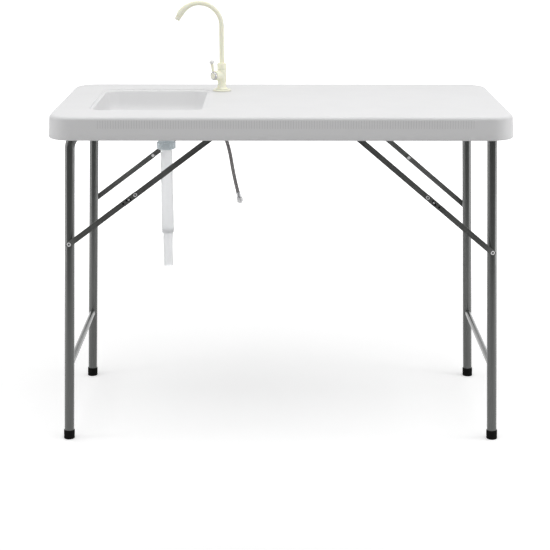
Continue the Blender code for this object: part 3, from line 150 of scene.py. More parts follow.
HOSE_SIDES = 36
BRAID = "hose_braid_wire"

# Rails, stays and rivets
RAIL_SHEET = 0.0015
RAIL_OUT = WALL_Y - GAP
RAIL_IN = RAIL_OUT - RAIL_SHEET
RAIL_LOW = 0.7942
RAIL_END = WALL_X - 0.0185
RAIL_FLANGE = 0.0092
RAIL_BEND = 0.0020
SCREW_HEIGHT = 0.8122
SCREW_FROM_PIVOT = 0.0245
SCREW_FROM_ANCHOR = 0.055
STAY_WIDTH = 0.014
STAY_DEPTH = 0.0045
STAY_SHEET = 0.0012
STAY_END = 0.008
STAY_TAB = 0.016
STAY_OVERLAP = 0.044
UPPER_OUT = RAIL_IN - GAP
UPPER_IN = UPPER_OUT - STAY_DEPTH
LOWER_OUT = UPPER_IN - GAP
LOWER_IN = LOWER_OUT - STAY_DEPTH
SPACER_OUT = LOWER_IN - GAP
SPACER_SHEET = 0.0012
SPACER_IN = SPACER_OUT - SPACER_SHEET
RIVET_STEM = 0.0030
LOCK_TURN = math.radians(18)
LOCK_PLACE = 0.0215
HOLE_FROM_END = 0.0058
STAYS = {
    "left": {"anchor": (-0.1599, 0.8027), "lug": (-0.5311, 0.5232), "upper": 0.25183, "lower": 0.21283},
    "right": {"anchor": (0.1637, 0.8152), "lug": (0.5318, 0.5024), "upper": 0.26319, "lower": 0.21989},
}

# Meshes
SHARP_ANGLE = math.radians(38)
MERGE = 0.000002
UPRIGHT = np.eye(3)

# Stage: the camera's turn is in degrees
CAMERA_LENS = 95.2
CAMERA_SENSOR = 36.0
CAMERA_PLACE = (-0.0123, -3.8014, 1.4059)
CAMERA_TURN = (74.79, -0.03, 0.045)
FLOOR_HALF = 14.0

# Lamps: place, tilt and turn in degrees, length and width, and the share of a setting that is the power
LAMPS = {
    "overhead": ((0.2, -0.5, 2.9), (10, 0), (4.0, 2.6), "lamp_power", 1.0),
    "left_side": ((-2.3, -0.5, 0.85), (88, -78), (0.6, 1.6), "side_power", 0.7),
    "right_side": ((2.3, -0.3, 0.85), (88, 82), (0.75, 1.6), "side_power", 1.0),
}

# Finishes: a colour or the setting that gives it, its shade or the share of it that the shade keeps, the
# roughness from and to, the grain's scale and depth, the rubbed marks, the metal, the mottling's scale, the
# shader's own inputs and, on the top alone, how much of the grain is pebbled
FINISHES = {
    "moulded_plastic": (
        ("top", "colour"), 0.985, (0.50, 0.60), 1500.0, 0.00004, 0.10, 0.0, 9.0, {"Specular IOR Level": 0.4}, 0.6,
    ),
    # The ticks' darker grey is painted shade, standing in for the shade that makes moulded ticks read as lines
    "tick_plastic": (("top", "tick_painted_shade_colour"), 0.9, (0.50, 0.60), 1500.0, 0.00003, 0.20, 0.0, 9.0, {}),
    "grey_paint": (
        ("frames", "paint_colour"), 0.9, (0.32, 0.42), 700.0, 0.00004, 0.30, 0.0, 14.0,
        {"Specular IOR Level": 0.2, "Coat Weight": 0.9, "Coat IOR": 1.8, "Coat Roughness": 0.15},
    ),
    "pressed_dark_steel": (
        ("frames", "stay_colour"), 0.7, (0.36, 0.50), 1100.0, 0.00003, 0.25, 0.0, 22.0,
        {"Specular IOR Level": 0.22},
    ),
    "zinc_steel": (("frames", "steel_colour"), 0.85, (0.28, 0.42), 1800.0, 0.00002, 0.40, 0.4, 60.0, {}),
    "polished_plating": (
        (0.60, 0.60, 0.61), (0.52, 0.52, 0.54), (0.22, 0.34), 2500.0, 0.00001, 0.30, 1.0, 80.0, {},
    ),
    "black_foot_rubber": (
        (0.006, 0.006, 0.006), (0.011, 0.011, 0.0105), (0.66, 0.82), 900.0, 0.00008, 0.12, 0.0, 30.0,
        {"Specular IOR Level": 0.05},
    ),
    "seal_rubber": ((0.80, 0.80, 0.76), (0.70, 0.70, 0.67), (0.55, 0.70), 900.0, 0.00005, 0.20, 0.0, 30.0, {}),
    # Near-black painted shade for the bottoms of rivets' hollows and the plates under the locks' openings
    "rivet_hollow": (
        (0.010, 0.010, 0.010), (0.016, 0.016, 0.016), (0.60, 0.70), 900.0, 0.00003, 0.0, 0.0, 9.0,
        {"Specular IOR Level": 0.05},
    ),
    "dark_bush_plastic": (
        (0.045, 0.045, 0.046), (0.06, 0.06, 0.06), (0.38, 0.50), 1200.0, 0.00003, 0.30, 0.0, 25.0, {},
    ),
    "ivory_plastic": (
        ("tap", "ivory"), 0.97, (0.20, 0.28), 900.0, 0.000015, 0.15, 0.0, 28.0,
        {"Specular IOR Level": 0.25, "Subsurface Weight": 0.12, "Subsurface Radius": (0.004, 0.003, 0.0015),
         "Subsurface Scale": 1.0},
    ),
    "grey_knob_plastic": (("tap", "knob"), 0.95, (0.28, 0.36), 1000.0, 0.00002, 0.20, 0.0, 40.0, {}),
    "milky_plastic": (
        ("drain", "pipe_colour"), 0.96, (0.30, 0.42), 800.0, 0.00003, 0.20, 0.0, 18.0,
        {"Transmission Weight": 0.8, "IOR": 1.2},
    ),
    "blue_plastic": (
        ("drain", "nut_colour"), 0.92, (0.22, 0.34), 800.0, 0.00003, 0.20, 0.0, 24.0,
        {"Transmission Weight": 0.2, "IOR": 1.2},
    ),
}


def surface(grid, round_u=True, round_v=False, low_pole=None, high_pole=None):
    """Faces over a grid of points: rows run along, columns run round, and a pole closes an end in a fan."""
    rows, columns = grid.shape[:2]
    points = grid.reshape(-1, 3)
    index = np.arange(rows * columns).reshape(rows, columns)
    if round_v:
        index = np.vstack([index, index[:1]])
    if round_u:
        index = np.hstack([index, index[:, :1]])
    quads = np.stack([index[:-1, :-1], index[:-1, 1:], index[1:, 1:], index[1:, :-1]], axis=-1).reshape(-1, 4)
    fans = [np.empty((0, 3), int)]
    if low_pole is not None:
        centre = np.full(index.shape[1] - 1, len(points))
        points = np.vstack([points, low_pole])
        fans.append(np.stack([centre, index[0, 1:], index[0, :-1]], axis=-1))
    if high_pole is not None:
        centre = np.full(index.shape[1] - 1, len(points))
        points = np.vstack([points, high_pole])
        fans.append(np.stack([centre, index[-1, :-1], index[-1, 1:]], axis=-1))
    return points, quads, np.vstack(fans)


def joined(shapes):
    """Several shapes as one: the face numbers of each are raised by the points before it."""
    points = np.vstack([shape[0] for shape in shapes])
    before = np.cumsum([0] + [len(shape[0]) for shape in shapes[:-1]])
    quads = np.vstack([shape[1] + start for shape, start in zip(shapes, before)])
    triangles = np.vstack([shape[2] + start for shape, start in zip(shapes, before)])
    return points, quads, triangles


def placed(shape, axes, origin):
    """A shape with its own X, Y and Z laid along three axes, about an origin."""
    points, quads, triangles = shape
    return points @ np.asarray(axes, float) + np.asarray(origin, float), quads, triangles


def outward(shape):
    """A closed shape with its faces outwards: they are turned over if they enclose less than nothing."""
    points, quads, triangles = shape
    fans = np.vstack([quads[:, (0, 1, 2)], quads[:, (0, 2, 3)], triangles])
    first, second, third = (points[fans[:, corner]] for corner in range(3))
    if np.einsum("ij,ij->i", first, np.cross(second, third)).sum() < 0:
        return points, quads[:, ::-1], triangles[:, ::-1]
    return shape


def tilted(angle):
    """Three axes turned about Y by an angle."""
    cos, sin = math.cos(angle), math.sin(angle)
    return np.array([(cos, 0.0, -sin), (0.0, 1.0, 0.0), (sin, 0.0, cos)])


def across(shape, x, z, row):
    """A turned shape laid along Y at a place: its heights are distances from the middle plane."""
    return placed(shape, facing((0.0, row, 0.0)), (x, 0.0, z))


def facing(direction, up=(0.0, 0.0, 1.0)):
    """Three axes, the last along a direction: the first is up times it, the second it times the first."""
    along = np.asarray(direction, float) / np.linalg.norm(direction)
    first = np.cross(up, along)
    if np.linalg.norm(first) < 1e-6:
        first = np.array([1.0, 0.0, 0.0])
    first = first / np.linalg.norm(first)
    return np.array([first, np.cross(along, first), along])


def soften(profile, radius, closed=False, steps=4):
    """Round a profile's corners: each becomes a quadratic curve that starts and ends a radius from it."""
    corner = np.asarray(profile, float)
    radius = np.broadcast_to(np.asarray(radius, float).reshape(-1, 1), (len(corner), 1))

    def toward(other):
        gap = other - corner
        length = np.maximum(np.linalg.norm(gap, axis=1, keepdims=True), 1e-9)
        return corner + gap * np.minimum(radius / length, 0.48)

    start, end = toward(np.roll(corner, 1, 0))[:, None], toward(np.roll(corner, -1, 0))[:, None]
    share = np.linspace(0.0, 1.0, steps + 1)[None, :, None]
    arcs = (1 - share) ** 2 * start + 2 * share * (1 - share) * corner[:, None] + share ** 2 * end
    if closed:
        return arcs.reshape(-1, corner.shape[1])
    return np.vstack([corner[:1], arcs[1:-1].reshape(-1, corner.shape[1]), corner[-1:]])


def turned(profile, sides=64, closed=False, ribs=0, rib_depth=0.0, flats=None):
    """A profile of (radius, height) turned about Z: at angle a it stands at (r cos a, r sin a, h).

    Ribs add depth times cos(ribs a) to the radius of each row that has a depth, and flats cut it
    to a hexagon whose sides stand that far from the axis.
    """
    profile = np.asarray(profile, float)
    depth = np.broadcast_to(np.asarray(rib_depth, float), (len(profile),))
    low = high = None
    if not closed and profile[0, 0] < 1e-9:
        low, profile, depth = (0.0, 0.0, profile[0, 1]), profile[1:], depth[1:]
    if not closed and profile[-1, 0] < 1e-9:
        high, profile, depth = (0.0, 0.0, profile[-1, 1]), profile[:-1], depth[:-1]
    angle = np.arange(sides) * math.tau / sides
    radius = profile[:, :1] + depth[:, None] * np.cos(ribs * angle)
    if flats is not None:
        radius = np.minimum(radius, flats / np.cos(angle % (math.pi / 3) - math.pi / 6))
    height = profile[:, 1:] + 0.0 * angle
    grid = np.stack([radius * np.cos(angle), radius * np.sin(angle), height], axis=-1)
    return surface(grid, round_v=closed, low_pole=low, high_pole=high)


def swept(path, radius, side=(0.0, 1.0, 0.0), sides=40):
    """A round section carried along a path, square to the line between each point's neighbours."""
    path = np.asarray(path, float)
    run = np.gradient(path, axis=0)
    run /= np.linalg.norm(run, axis=1, keepdims=True)
    aside = side - (run @ np.asarray(side))[:, None] * run
    aside /= np.linalg.norm(aside, axis=1, keepdims=True)
    above = np.cross(run, aside)
    angle = np.arange(sides) * math.tau / sides
    radius = np.broadcast_to(np.asarray(radius, float), (len(path),))[:, None, None]
    turn = np.cos(angle)[None, :, None] * aside[:, None] + np.sin(angle)[None, :, None] * above[:, None]
    return surface(path[:, None] + radius * turn, low_pole=path[0], high_pole=path[-1])


def beaded(path, radius, sides=10):
    """A round bead along a closed path, its section square to the path at each point."""
    run = np.roll(path, -1, 0) - np.roll(path, 1, 0)
    run = run / np.linalg.norm(run, axis=1, keepdims=True)
    out = path - path.mean(axis=0)
    out = out - (out * run).sum(axis=1, keepdims=True) * run
    out = out / np.linalg.norm(out, axis=1, keepdims=True)
    above = np.cross(run, out)
    angle = np.arange(sides) * math.tau / sides
    turn = np.cos(angle)[None, :, None] * out[:, None] + np.sin(angle)[None, :, None] * above[:, None]
    return surface(path[:, None] + radius * turn, round_v=True)


def pressed(centre, normal, sheet):
    """A pressed sheet: each station's middle line, moved half a sheet along its normals to either side."""
    outer, inner = centre + normal * sheet / 2, centre - normal * sheet / 2
    points, quads, triangles = surface(np.concatenate([outer, inner[:, ::-1]], axis=1))
    stations, count = centre.shape[:2]
    near = np.arange(count - 1)
    far = 2 * count - 1 - near
    cap = np.stack([near + 1, near, far, far - 1], axis=-1)
    last = cap[:, ::-1] + (stations - 1) * 2 * count
    return points, np.vstack([quads, cap, last]), triangles


def channel(stations, half, flange, bend, inner, row):
    """A channel's middle line at each station: a flange, a bend, the web, a bend and a flange.

    Half is half the width of the middle line, flange its height and bend its corner's radius, all by
    station. The web stands half a sheet out from the inner distance, and the flanges point outwards.
    """
    half, flange, bend = (np.broadcast_to(value, stations.shape)[:, None] for value in (half, flange, bend))
    angle = np.linspace(0.0, math.pi / 2, 6)
    up = np.concatenate([flange, bend * (1 - np.sin(angle))], axis=1)
    side = np.concatenate([half, half - bend * (1 - np.cos(angle))], axis=1)
    tilt = np.concatenate([[0.0], angle])
    up = np.concatenate([up, up[:, ::-1]], axis=1)
    side = np.concatenate([side, -side[:, ::-1]], axis=1)
    lean = np.concatenate([np.cos(tilt), -np.cos(tilt[::-1])])
    drop = np.concatenate([-np.sin(tilt), -np.sin(tilt[::-1])])
    centre = np.stack([stations[:, None] + 0.0 * up, row * (inner + STAY_SHEET / 2 + up), side], axis=-1)
    normal = np.broadcast_to(np.stack([0.0 * lean, row * drop, lean], axis=-1), centre.shape)
    return centre, normal


def welded(mesh):
    """A mesh with its doubles merged and its faces of no area taken out, smooth but for its sharp edges."""
    merged = bmesh.new()
    merged.from_mesh(mesh)
    bmesh.ops.remove_doubles(merged, verts=merged.verts, dist=MERGE)
    bmesh.ops.dissolve_degenerate(merged, edges=merged.edges, dist=MERGE / 10)
    merged.to_mesh(mesh)
    merged.free()
    mesh.shade_smooth()
    mesh.set_sharp_from_angle(angle=SHARP_ANGLE)
    return mesh


def pierced(shape, cutters):
    """A shape with others cut out of it, by one exact Boolean for each."""
    items = []
    for index, part in enumerate([shape, *cutters]):
        item = bpy.data.objects.new(f"blank_{index}", make_mesh(f"blank_{index}", outward(part)))
        bpy.context.scene.collection.objects.link(item)
        items.append(item)
    for cutter in items[1:]:
        cut = items[0].modifiers.new(cutter.name, "BOOLEAN")
        cut.object, cut.solver, cut.operation = cutter, "EXACT", "DIFFERENCE"
    view = bpy.context.evaluated_depsgraph_get()
    mesh = bpy.data.meshes.new_from_object(items[0].evaluated_get(view))
    for item in items:
        bpy.data.objects.remove(item, do_unlink=True)
    return welded(mesh)


def moved(mesh, axes, origin):
    """A finished mesh with its points laid along three axes, about an origin."""
    points = np.empty(len(mesh.vertices) * 3, np.float32)
    mesh.vertices.foreach_get("co", points)
    points = points.reshape(-1, 3) @ np.asarray(axes) + np.asarray(origin)
    mesh.vertices.foreach_set("co", points.astype(np.float32).ravel())
    mesh.update()
    return mesh


def make_mesh(name, shape, uv=None):
    """A mesh from a shape's arrays, smooth but for its sharp edges."""
    points, quads, triangles = shape
    corners = np.concatenate([quads.ravel(), triangles.ravel()]).astype(np.int32)
    counts = np.concatenate([np.full(len(quads), 4), np.full(len(triangles), 3)])
    starts = np.concatenate([[0], np.cumsum(counts)[:-1]]).astype(np.int32)
    mesh = bpy.data.meshes.new(name)
    mesh.vertices.add(len(points))
    mesh.vertices.foreach_set("co", np.asarray(points, np.float32).ravel())
    mesh.loops.add(len(corners))
    mesh.loops.foreach_set("vertex_index", corners)
    mesh.polygons.add(len(counts))
    mesh.polygons.foreach_set("loop_start", starts)
    mesh.update(calc_edges=True)
    if uv is not None:
        layer = mesh.uv_layers.new(name="along")
        layer.data.foreach_set("uv", np.asarray(uv, np.float32).ravel())
    mesh.validate()
    mesh.shade_smooth()
    mesh.set_sharp_from_angle(angle=SHARP_ANGLE)
    return mesh


def add_piece(name, shape, look, body, stands_for=(), uv=None, hollow=None):
    """Add a piece to the scene, with its finish, its body and the nodes that it stands for.

    A shape with a UV map keeps its faces' order, so it's made facing outwards. A second finish, near-black painted
    shade for a rivet's hollow, goes on the shape's triangles, which are the fan at the hollow's bottom.
    """
    if isinstance(shape, bpy.types.Mesh):
        mesh = shape
    else:
        mesh = make_mesh(name, outward(shape) if uv is None else shape, uv)
    mesh.name = name
    mesh.materials.clear()
    mesh.materials.append(finish(look))
    # The second finish is near-black painted shade, on the fan at the bottom of a rivet's hollow
    if hollow is not None:
        mesh.materials.append(finish(hollow))
        count = len(shape[1]), len(shape[2])
        mesh.polygons.foreach_set("material_index", np.repeat(np.array([0, 1], np.int32), count))
    item = bpy.data.objects.new(name, mesh)
    bpy.context.scene.collection.objects.link(item)
    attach(item, body)
    if stands_for:
        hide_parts(*stands_for)
    return item


def add_turned(
    name, profile, radius, look, slot, nodes=(), body="table", place=TAP_PLACE, axes=UPRIGHT, sides=72, steps=3,
    closed=False, flats=None,
):
    """Add a turned piece, its profile's corners rounded by a radius, laid along three axes about a place."""
    shape = turned(soften(profile, radius, closed, steps), sides, closed, flats=flats)
    return add_piece(name, placed(shape, axes, place), look, body, nodes)


# Shaders


def add(tree, kind, inputs=None, **settings):
    """Add a node, with its settings, and its inputs as values or links."""
    item = tree.nodes.new("ShaderNode" + kind)
    for name, value in settings.items():
        setattr(item, name, value)
    for name, value in (inputs or {}).items():
        if isinstance(value, bpy.types.NodeSocket):
            tree.links.new(value, item.inputs[name])
        else:
            item.inputs[name].default_value = value
    return item


def maths(tree, operation, first, second=0.0, third=0.0):
    """One Math node's output, with up to three inputs as values or links."""
    return add(tree, "Math", {0: first, 1: second, 2: third}, operation=operation).outputs[0]


def ranged(tree, value, start, end=(0.0, 1.0)):
    """A Map Range node's output: a value that runs from one range to another."""
    inputs = {"Value": value, "From Min": start[0], "From Max": start[1], "To Min": end[0], "To Max": end[1]}
    return add(tree, "MapRange", inputs).outputs[0]


def new_group(name, inputs, outputs):
    """A shader node group with its named float inputs and outputs."""
    tree = bpy.data.node_groups.new(name, "ShaderNodeTree")
    for label, default in inputs.items():
        tree.interface.new_socket(label, in_out="INPUT", socket_type="NodeSocketFloat").default_value = default
    for label in outputs:
        tree.interface.new_socket(label, in_out="OUTPUT", socket_type="NodeSocketFloat")
    return tree, tree.nodes.new("NodeGroupInput"), tree.nodes.new("NodeGroupOutput")


def grain_group():
    """Fine grain and slow mottling of a surface: noise of two sizes on Object coordinates."""
    if "surface_grain" in bpy.data.node_groups:
        return bpy.data.node_groups["surface_grain"]
    sizes = {"Grain Scale": 900.0, "Mottle Scale": 9.0, "Pebble": 0.5}
    tree, given, result = new_group("surface_grain", sizes, ["Height", "Mottle"])
    place = add(tree, "TexCoord").outputs["Object"]
    grains = {"Vector": place, "Scale": given.outputs["Grain Scale"]}
    fine = add(tree, "TexNoise", {**grains, "Detail": 3.0, "Roughness": 0.6})
    pebble = add(tree, "TexVoronoi", grains, feature="SMOOTH_F1")
    mottles = {"Vector": place, "Scale": given.outputs["Mottle Scale"]}
    slow = add(tree, "TexNoise", {**mottles, "Detail": 4.0, "Roughness": 0.55})
    shares = {0: given.outputs["Pebble"], 2: fine.outputs["Fac"], 3: pebble.outputs["Distance"]}
    mixed = add(tree, "Mix", shares, data_type="FLOAT")
    tree.links.new(mixed.outputs[0], result.inputs["Height"])
    tree.links.new(ranged(tree, slow.outputs["Fac"], (0.3, 0.7)), result.inputs["Mottle"])
    return tree


def wear_group():
    """Rubs and fine scratches: stretched noise kept where it runs high, broken up by a slower noise."""
    if "rubbed_marks" in bpy.data.node_groups:
        return bpy.data.node_groups["rubbed_marks"]
    tree, given, result = new_group("rubbed_marks", {"Scale": 30.0, "Amount": 0.4}, ["Mask"])
    place = add(tree, "TexCoord").outputs["Object"]
    drawn = add(tree, "Mapping", {"Vector": place, "Rotation": (0.3, 0.2, 0.5), "Scale": (1.0, 7.0, 2.5)})
    scratch = add(tree, "TexNoise", {"Vector": drawn.outputs[0], "Scale": given.outputs["Scale"], "Detail": 5.0})
    patch = add(tree, "TexNoise", {"Vector": place, "Scale": 6.0, "Detail": 2.0})
    sharp = ranged(tree, scratch.outputs["Fac"], (0.56, 0.72))
    both = maths(tree, "MULTIPLY", sharp, ranged(tree, patch.outputs["Fac"], (0.45, 0.65)))
    tree.links.new(maths(tree, "MULTIPLY", both, given.outputs["Amount"]), result.inputs["Mask"])
    return tree


def weave_group():
    """A diamond braid on a UV map: two families of strands cross, each over the other by turns."""
    tree, given, result = new_group("braid_weave", {"Around": 12.0, "Along": 40.0}, ["Height", "Shade"])
    place = add(tree, "SeparateXYZ", {0: add(tree, "UVMap", uv_map="along").outputs[0]})
    round_part = maths(tree, "MULTIPLY", place.outputs["X"], given.outputs["Around"])
    long_part = maths(tree, "MULTIPLY", place.outputs["Y"], given.outputs["Along"])
    right = maths(tree, "ADD", long_part, round_part)
    left = maths(tree, "SUBTRACT", long_part, round_part)
    wave_right = maths(tree, "SINE", maths(tree, "MULTIPLY", right, math.tau))
    wave_left = maths(tree, "SINE", maths(tree, "MULTIPLY", left, math.tau))
    fine = maths(tree, "SINE", maths(tree, "MULTIPLY", right, math.tau * 4))
    other = maths(tree, "SINE", maths(tree, "MULTIPLY", left, math.tau * 4))
    over = maths(tree, "GREATER_THAN", maths(tree, "MULTIPLY", wave_right, wave_left), 0.0)
    wires = add(tree, "Mix", {0: over, 2: fine, 3: other}, data_type="FLOAT")
    body = maths(tree, "ABSOLUTE", maths(tree, "MULTIPLY", wave_right, wave_left))
    height = maths(tree, "MULTIPLY_ADD", wires.outputs[0], 0.25, body)
    tree.links.new(height, result.inputs["Height"])
    tree.links.new(ranged(tree, height, (0.0, 0.9)), result.inputs["Shade"])
    return tree


def use_group(tree, group, inputs):
    """Place a node group with its own values."""
    item = tree.nodes.new("ShaderNodeGroup")
    item.node_tree = group
    for name, value in inputs.items():
        item.inputs[name].default_value = value
    return item


def start_material(name):
    """A material with its shader, and the node tree that feeds it."""
    material = bpy.data.materials.new(name)
    material.use_nodes = True
    tree = material.node_tree
    return material, tree, tree.nodes["Principled BSDF"]


def mixed_colour(tree, share, first, second):
    """A colour between two, by a share that changes over the surface."""
    mix = add(tree, "Mix", {0: share}, data_type="RGBA")
    for socket, value in ((mix.inputs[6], first), (mix.inputs[7], second)):
        if isinstance(value, bpy.types.NodeSocket):
            tree.links.new(value, socket)
        else:
            socket.default_value = (*value[:3], 1.0)
    return mix.outputs[2]


def grained(name, colour, shade, rough, grain, depth, worn, metallic, mottle, inputs, pebble=0.0):
    """A finish with grain in its relief, mottling in its colour and gloss, and rubbed marks."""
    material, tree, shader = start_material(name)
    base = use_group(tree, grain_group(), {"Grain Scale": grain, "Mottle Scale": mottle, "Pebble": pebble})
    marks = use_group(tree, wear_group(), {"Scale": mottle * 5, "Amount": worn})
    mottled = mixed_colour(tree, base.outputs["Mottle"], colour, shade)
    lighter = tuple(min(1.0, part * 1.25 + 0.02) for part in colour[:3])
    tree.links.new(mixed_colour(tree, marks.outputs["Mask"], mottled, lighter), shader.inputs["Base Color"])
    gloss = ranged(tree, base.outputs["Mottle"], (0.0, 1.0), rough)
    rubbed = maths(tree, "MULTIPLY_ADD", marks.outputs["Mask"], 0.25, gloss)
    tree.links.new(rubbed, shader.inputs["Roughness"])
    bump = add(tree, "Bump", {"Height": base.outputs["Height"], "Distance": depth, "Strength": 1.0})
    tree.links.new(bump.outputs[0], shader.inputs["Normal"])
    for label, value in {"Metallic": metallic, **inputs}.items():
        shader.inputs[label].default_value = value
    return material


def finish(name):
    """A finish by name, made the first time that it is asked for."""
    if name in bpy.data.materials:
        return bpy.data.materials[name]
    if name == BRAID:
        return braided_steel()
    colour, shade, *others = FINISHES[name]
    if isinstance(colour[0], str):
        group, setting = colour
        colour = getattr(getattr(bpy.context.scene, f"sink_table_{group}"), setting)
    return grained(name, colour, darker(colour, shade) if isinstance(shade, float) else shade, *others)


def darker(colour, share):
    """A colour's shade."""
    return tuple(part * share for part in colour[:3])


def braided_steel():
    """Woven steel wire over the hose, dark between its strands."""
    looks = bpy.context.scene.sink_table_hose
    material, tree, shader = start_material(BRAID)
    weave = use_group(tree, weave_group(), {"Around": float(looks.strands), "Along": looks.crossings})
    colour = mixed_colour(tree, weave.outputs["Shade"], darker(looks.colour, 0.18), looks.colour)
    tree.links.new(colour, shader.inputs["Base Color"])
    gloss = ranged(tree, weave.outputs["Shade"], (0.0, 1.0), (0.55, 0.28))
    tree.links.new(gloss, shader.inputs["Roughness"])
    bump = add(tree, "Bump", {"Height": weave.outputs["Height"], "Distance": 0.0004})
    tree.links.new(bump.outputs[0], shader.inputs["Normal"])
    shader.inputs["Metallic"].default_value = 0.9
    return material


# Shapes of the top


def rounded_outline(half_x, half_y, corner, centre=(0.0, 0.0), bite=0.0):
    """A rectangle with round corners, counter-clockwise, with as many points whatever its size.

    Each side's points lie where the flutes' own points lie, as a share of the side, and a bite
    moves them outwards by bite times |sin(pi s / pitch)| at a distance s along the flutes.
    """
    runs = []
    for turn, (side_x, side_y) in enumerate(((1, 1), (-1, 1), (-1, -1), (1, -1))):
        middle = np.array([side_x * (half_x - corner), side_y * (half_y - corner)])
        angle = (turn + np.linspace(0.0, 1.0, 9)) * math.pi / 2
        runs.append(middle + corner * np.stack([np.cos(angle), np.sin(angle)], axis=-1))
    points = []
    for turn, half in enumerate((WALL_X, WALL_Y, WALL_X, WALL_Y)):
        length = 2 * (half - RECESS_CORNER)
        count = int(length / FLUTE_PITCH)
        steps = np.arange(count * FLUTE_STEPS + 1)
        share = ((length - count * FLUTE_PITCH) / 2 + steps * FLUTE_PITCH / FLUTE_STEPS) / length
        start, end = runs[turn][-1], runs[(turn + 1) % 4][0]
        along = (end - start) / np.linalg.norm(end - start)
        away = np.array([along[1], -along[0]])
        push = bite * np.abs(np.sin(math.pi * steps / FLUTE_STEPS))
        side = start + (end - start) * share[:, None] + away * push[:, None]
        points += [runs[turn], side]
    return np.vstack(points) + np.asarray(centre)


def lifted(outline, height):
    """A flat outline at a height."""
    return np.column_stack([outline, np.full(len(outline), height)])


def between(first, last, shares):
    """Rings a share of the way from one ring to another."""
    return [first + (last - first) * share for share in shares]


def quarter(radius, count):
    """Pairs of (radius (1 - cos a), radius (1 - sin a)) along a quarter of a circle."""
    angle = np.linspace(0.0, math.pi / 2, count)
    return [(radius * (1 - math.cos(a)), radius * (1 - math.sin(a))) for a in angle]


def rim_ring(grow, height):
    """The top's outer outline, grown, at a height."""
    return lifted(rounded_outline(TOP_LENGTH / 2 + grow, TOP_WIDTH / 2 + grow, TOP_CORNER + grow), height)


def basin_ring(height, inset):
    """The basin's outline at a height, drawn in by its slope and an inset, its corners by rather less."""
    less = (TOP_HEIGHT - height) * BASIN_SLOPE + inset
    corner = BASIN_CORNER - (TOP_HEIGHT - height) * BASIN_SLOPE - inset * 0.55
    outline = rounded_outline(BASIN_LENGTH / 2 - less, BASIN_WIDTH / 2 - less, corner, (BASIN_X, 0.0))
    return lifted(outline, height)


def ledge_ring(height, inset):
    """The outline of the step round the basin at a height, drawn in by an inset."""
    half_y = BASIN_WIDTH / 2 + (LEDGE_WIDTH + LEDGE_BACK) / 2 - inset
    corner = BASIN_CORNER + LEDGE_WIDTH - inset
    centre = (BASIN_X, (LEDGE_BACK - LEDGE_WIDTH) / 2)
    return lifted(rounded_outline(BASIN_LENGTH / 2 + LEDGE_WIDTH - inset, half_y, corner, centre), height)


def recess_ring(height, grow):
    """The fluted outline of the recess under the top, at a height."""
    outline = rounded_outline(WALL_X + grow, WALL_Y + grow, RECESS_CORNER + grow, bite=FLUTE_DEPTH)
    return lifted(outline, height)


def drain_ring(height, radius):
    """A circle round the drain with a point for each point of the basin's outline."""
    outline = basin_ring(height, 0.0)[:, :2] - (BASIN_X, 0.0)
    angle = np.arctan2(outline[:, 1], outline[:, 0])
    circle = np.column_stack([DRAIN_X + radius * np.cos(angle), DRAIN_Y + radius * np.sin(angle)])
    return lifted(circle, height)


def top_rings():
    """The rings of the top in order, and the numbers of the two that a dimpled sheet starts from.

    They are the rim, wall, edge, deck, ledge, basin and drain hole, and then back underneath.
    """
    rings = [rim_ring(RIM_FLARE - out, RIM_Z + up) for up, out in quarter(RIM_ROUND, 5)]
    rings += between(rings[-1], rim_ring(0.0, WALL_TOP_Z), (0.25, 0.5, 0.75))
    rings += [rim_ring(-inset, TOP_HEIGHT - drop) for inset, drop in quarter(EDGE_ROUND, 9)]
    step = [(0.0, -0.0012), (0.0003, -0.0004), (0.0010, 0.0), (0.0020, 0.0001), (0.0027, 0.0005)]
    step += [(0.003, 0.0014)]
    ledge = [ledge_ring(TOP_HEIGHT - drop, inset) for drop, inset in step]
    rings += between(rings[-1], ledge[0], (0.02, 0.08, 0.25, 0.5, 0.75, 0.92, 0.98))
    rings += ledge
    mouth = [(0.0, -0.0026), (0.0004, -0.0012), (0.0013, -0.0004), (0.0026, 0.0)]
    rings += [basin_ring(LEDGE_Z - drop, inset) for drop, inset in mouth]
    rings += [basin_ring(z, 0.0) for z in np.linspace(LEDGE_Z - 0.006, FLOOR_Z + BASIN_SWEEP + 0.001, 4)]
    rings += [basin_ring(FLOOR_Z + up, inset) for inset, up in quarter(BASIN_SWEEP, 9)[1:]]
    rings += between(rings[-1], drain_ring(FLOOR_Z, DRAIN_HOLE), (0.15, 0.35, 0.6, 0.85, 1.0))
    rings += [drain_ring(BASIN_UNDER, DRAIN_HOLE)]
    sheets = [len(rings) - 1]
    fillet = quarter(BASIN_FILLET + BASIN_WALL, 5)
    rings += [basin_ring(BASIN_UNDER + up, inset - BASIN_WALL) for up, inset in fillet]
    rings += [basin_ring(z, -BASIN_WALL) for z in (0.803, 0.815, 0.826)]
    root = [(0.0012, -0.0010), (0.0, -0.004)]
    rings += [basin_ring(DECK_UNDER - drop, inset - BASIN_WALL) for drop, inset in root]
    sheets += [len(rings) - 1]
    wall = [(0.0, -0.004), (0.0012, -0.0011), (0.004, 0.0), (0.014, 0.0), (0.025, 0.0), (0.0345, 0.0)]
    wall += [(0.0372, 0.0006), (0.038, 0.0022)]
    rings += [recess_ring(DECK_UNDER - drop, grow) for drop, grow in wall]
    rings += between(rings[-1], rings[0], (0.35, 0.7))
    return np.array(rings), sheets


def inside(points, outline):
    """Which flat points are inside an outline: a line from them towards X crosses it an odd number of times."""
    x, y = points[:, :1], points[:, 1:]
    first, second = outline[:, :2].T, np.roll(outline[:, :2], -1, axis=0).T
    rise = second[1] - first[1]
    spans = (first[1] > y) != (second[1] > y)
    crossing = first[0] + (second[0] - first[0]) * (y - first[1]) / np.where(rise == 0.0, 1.0, rise)
    return (spans & (x < crossing)).sum(axis=1) % 2 == 1


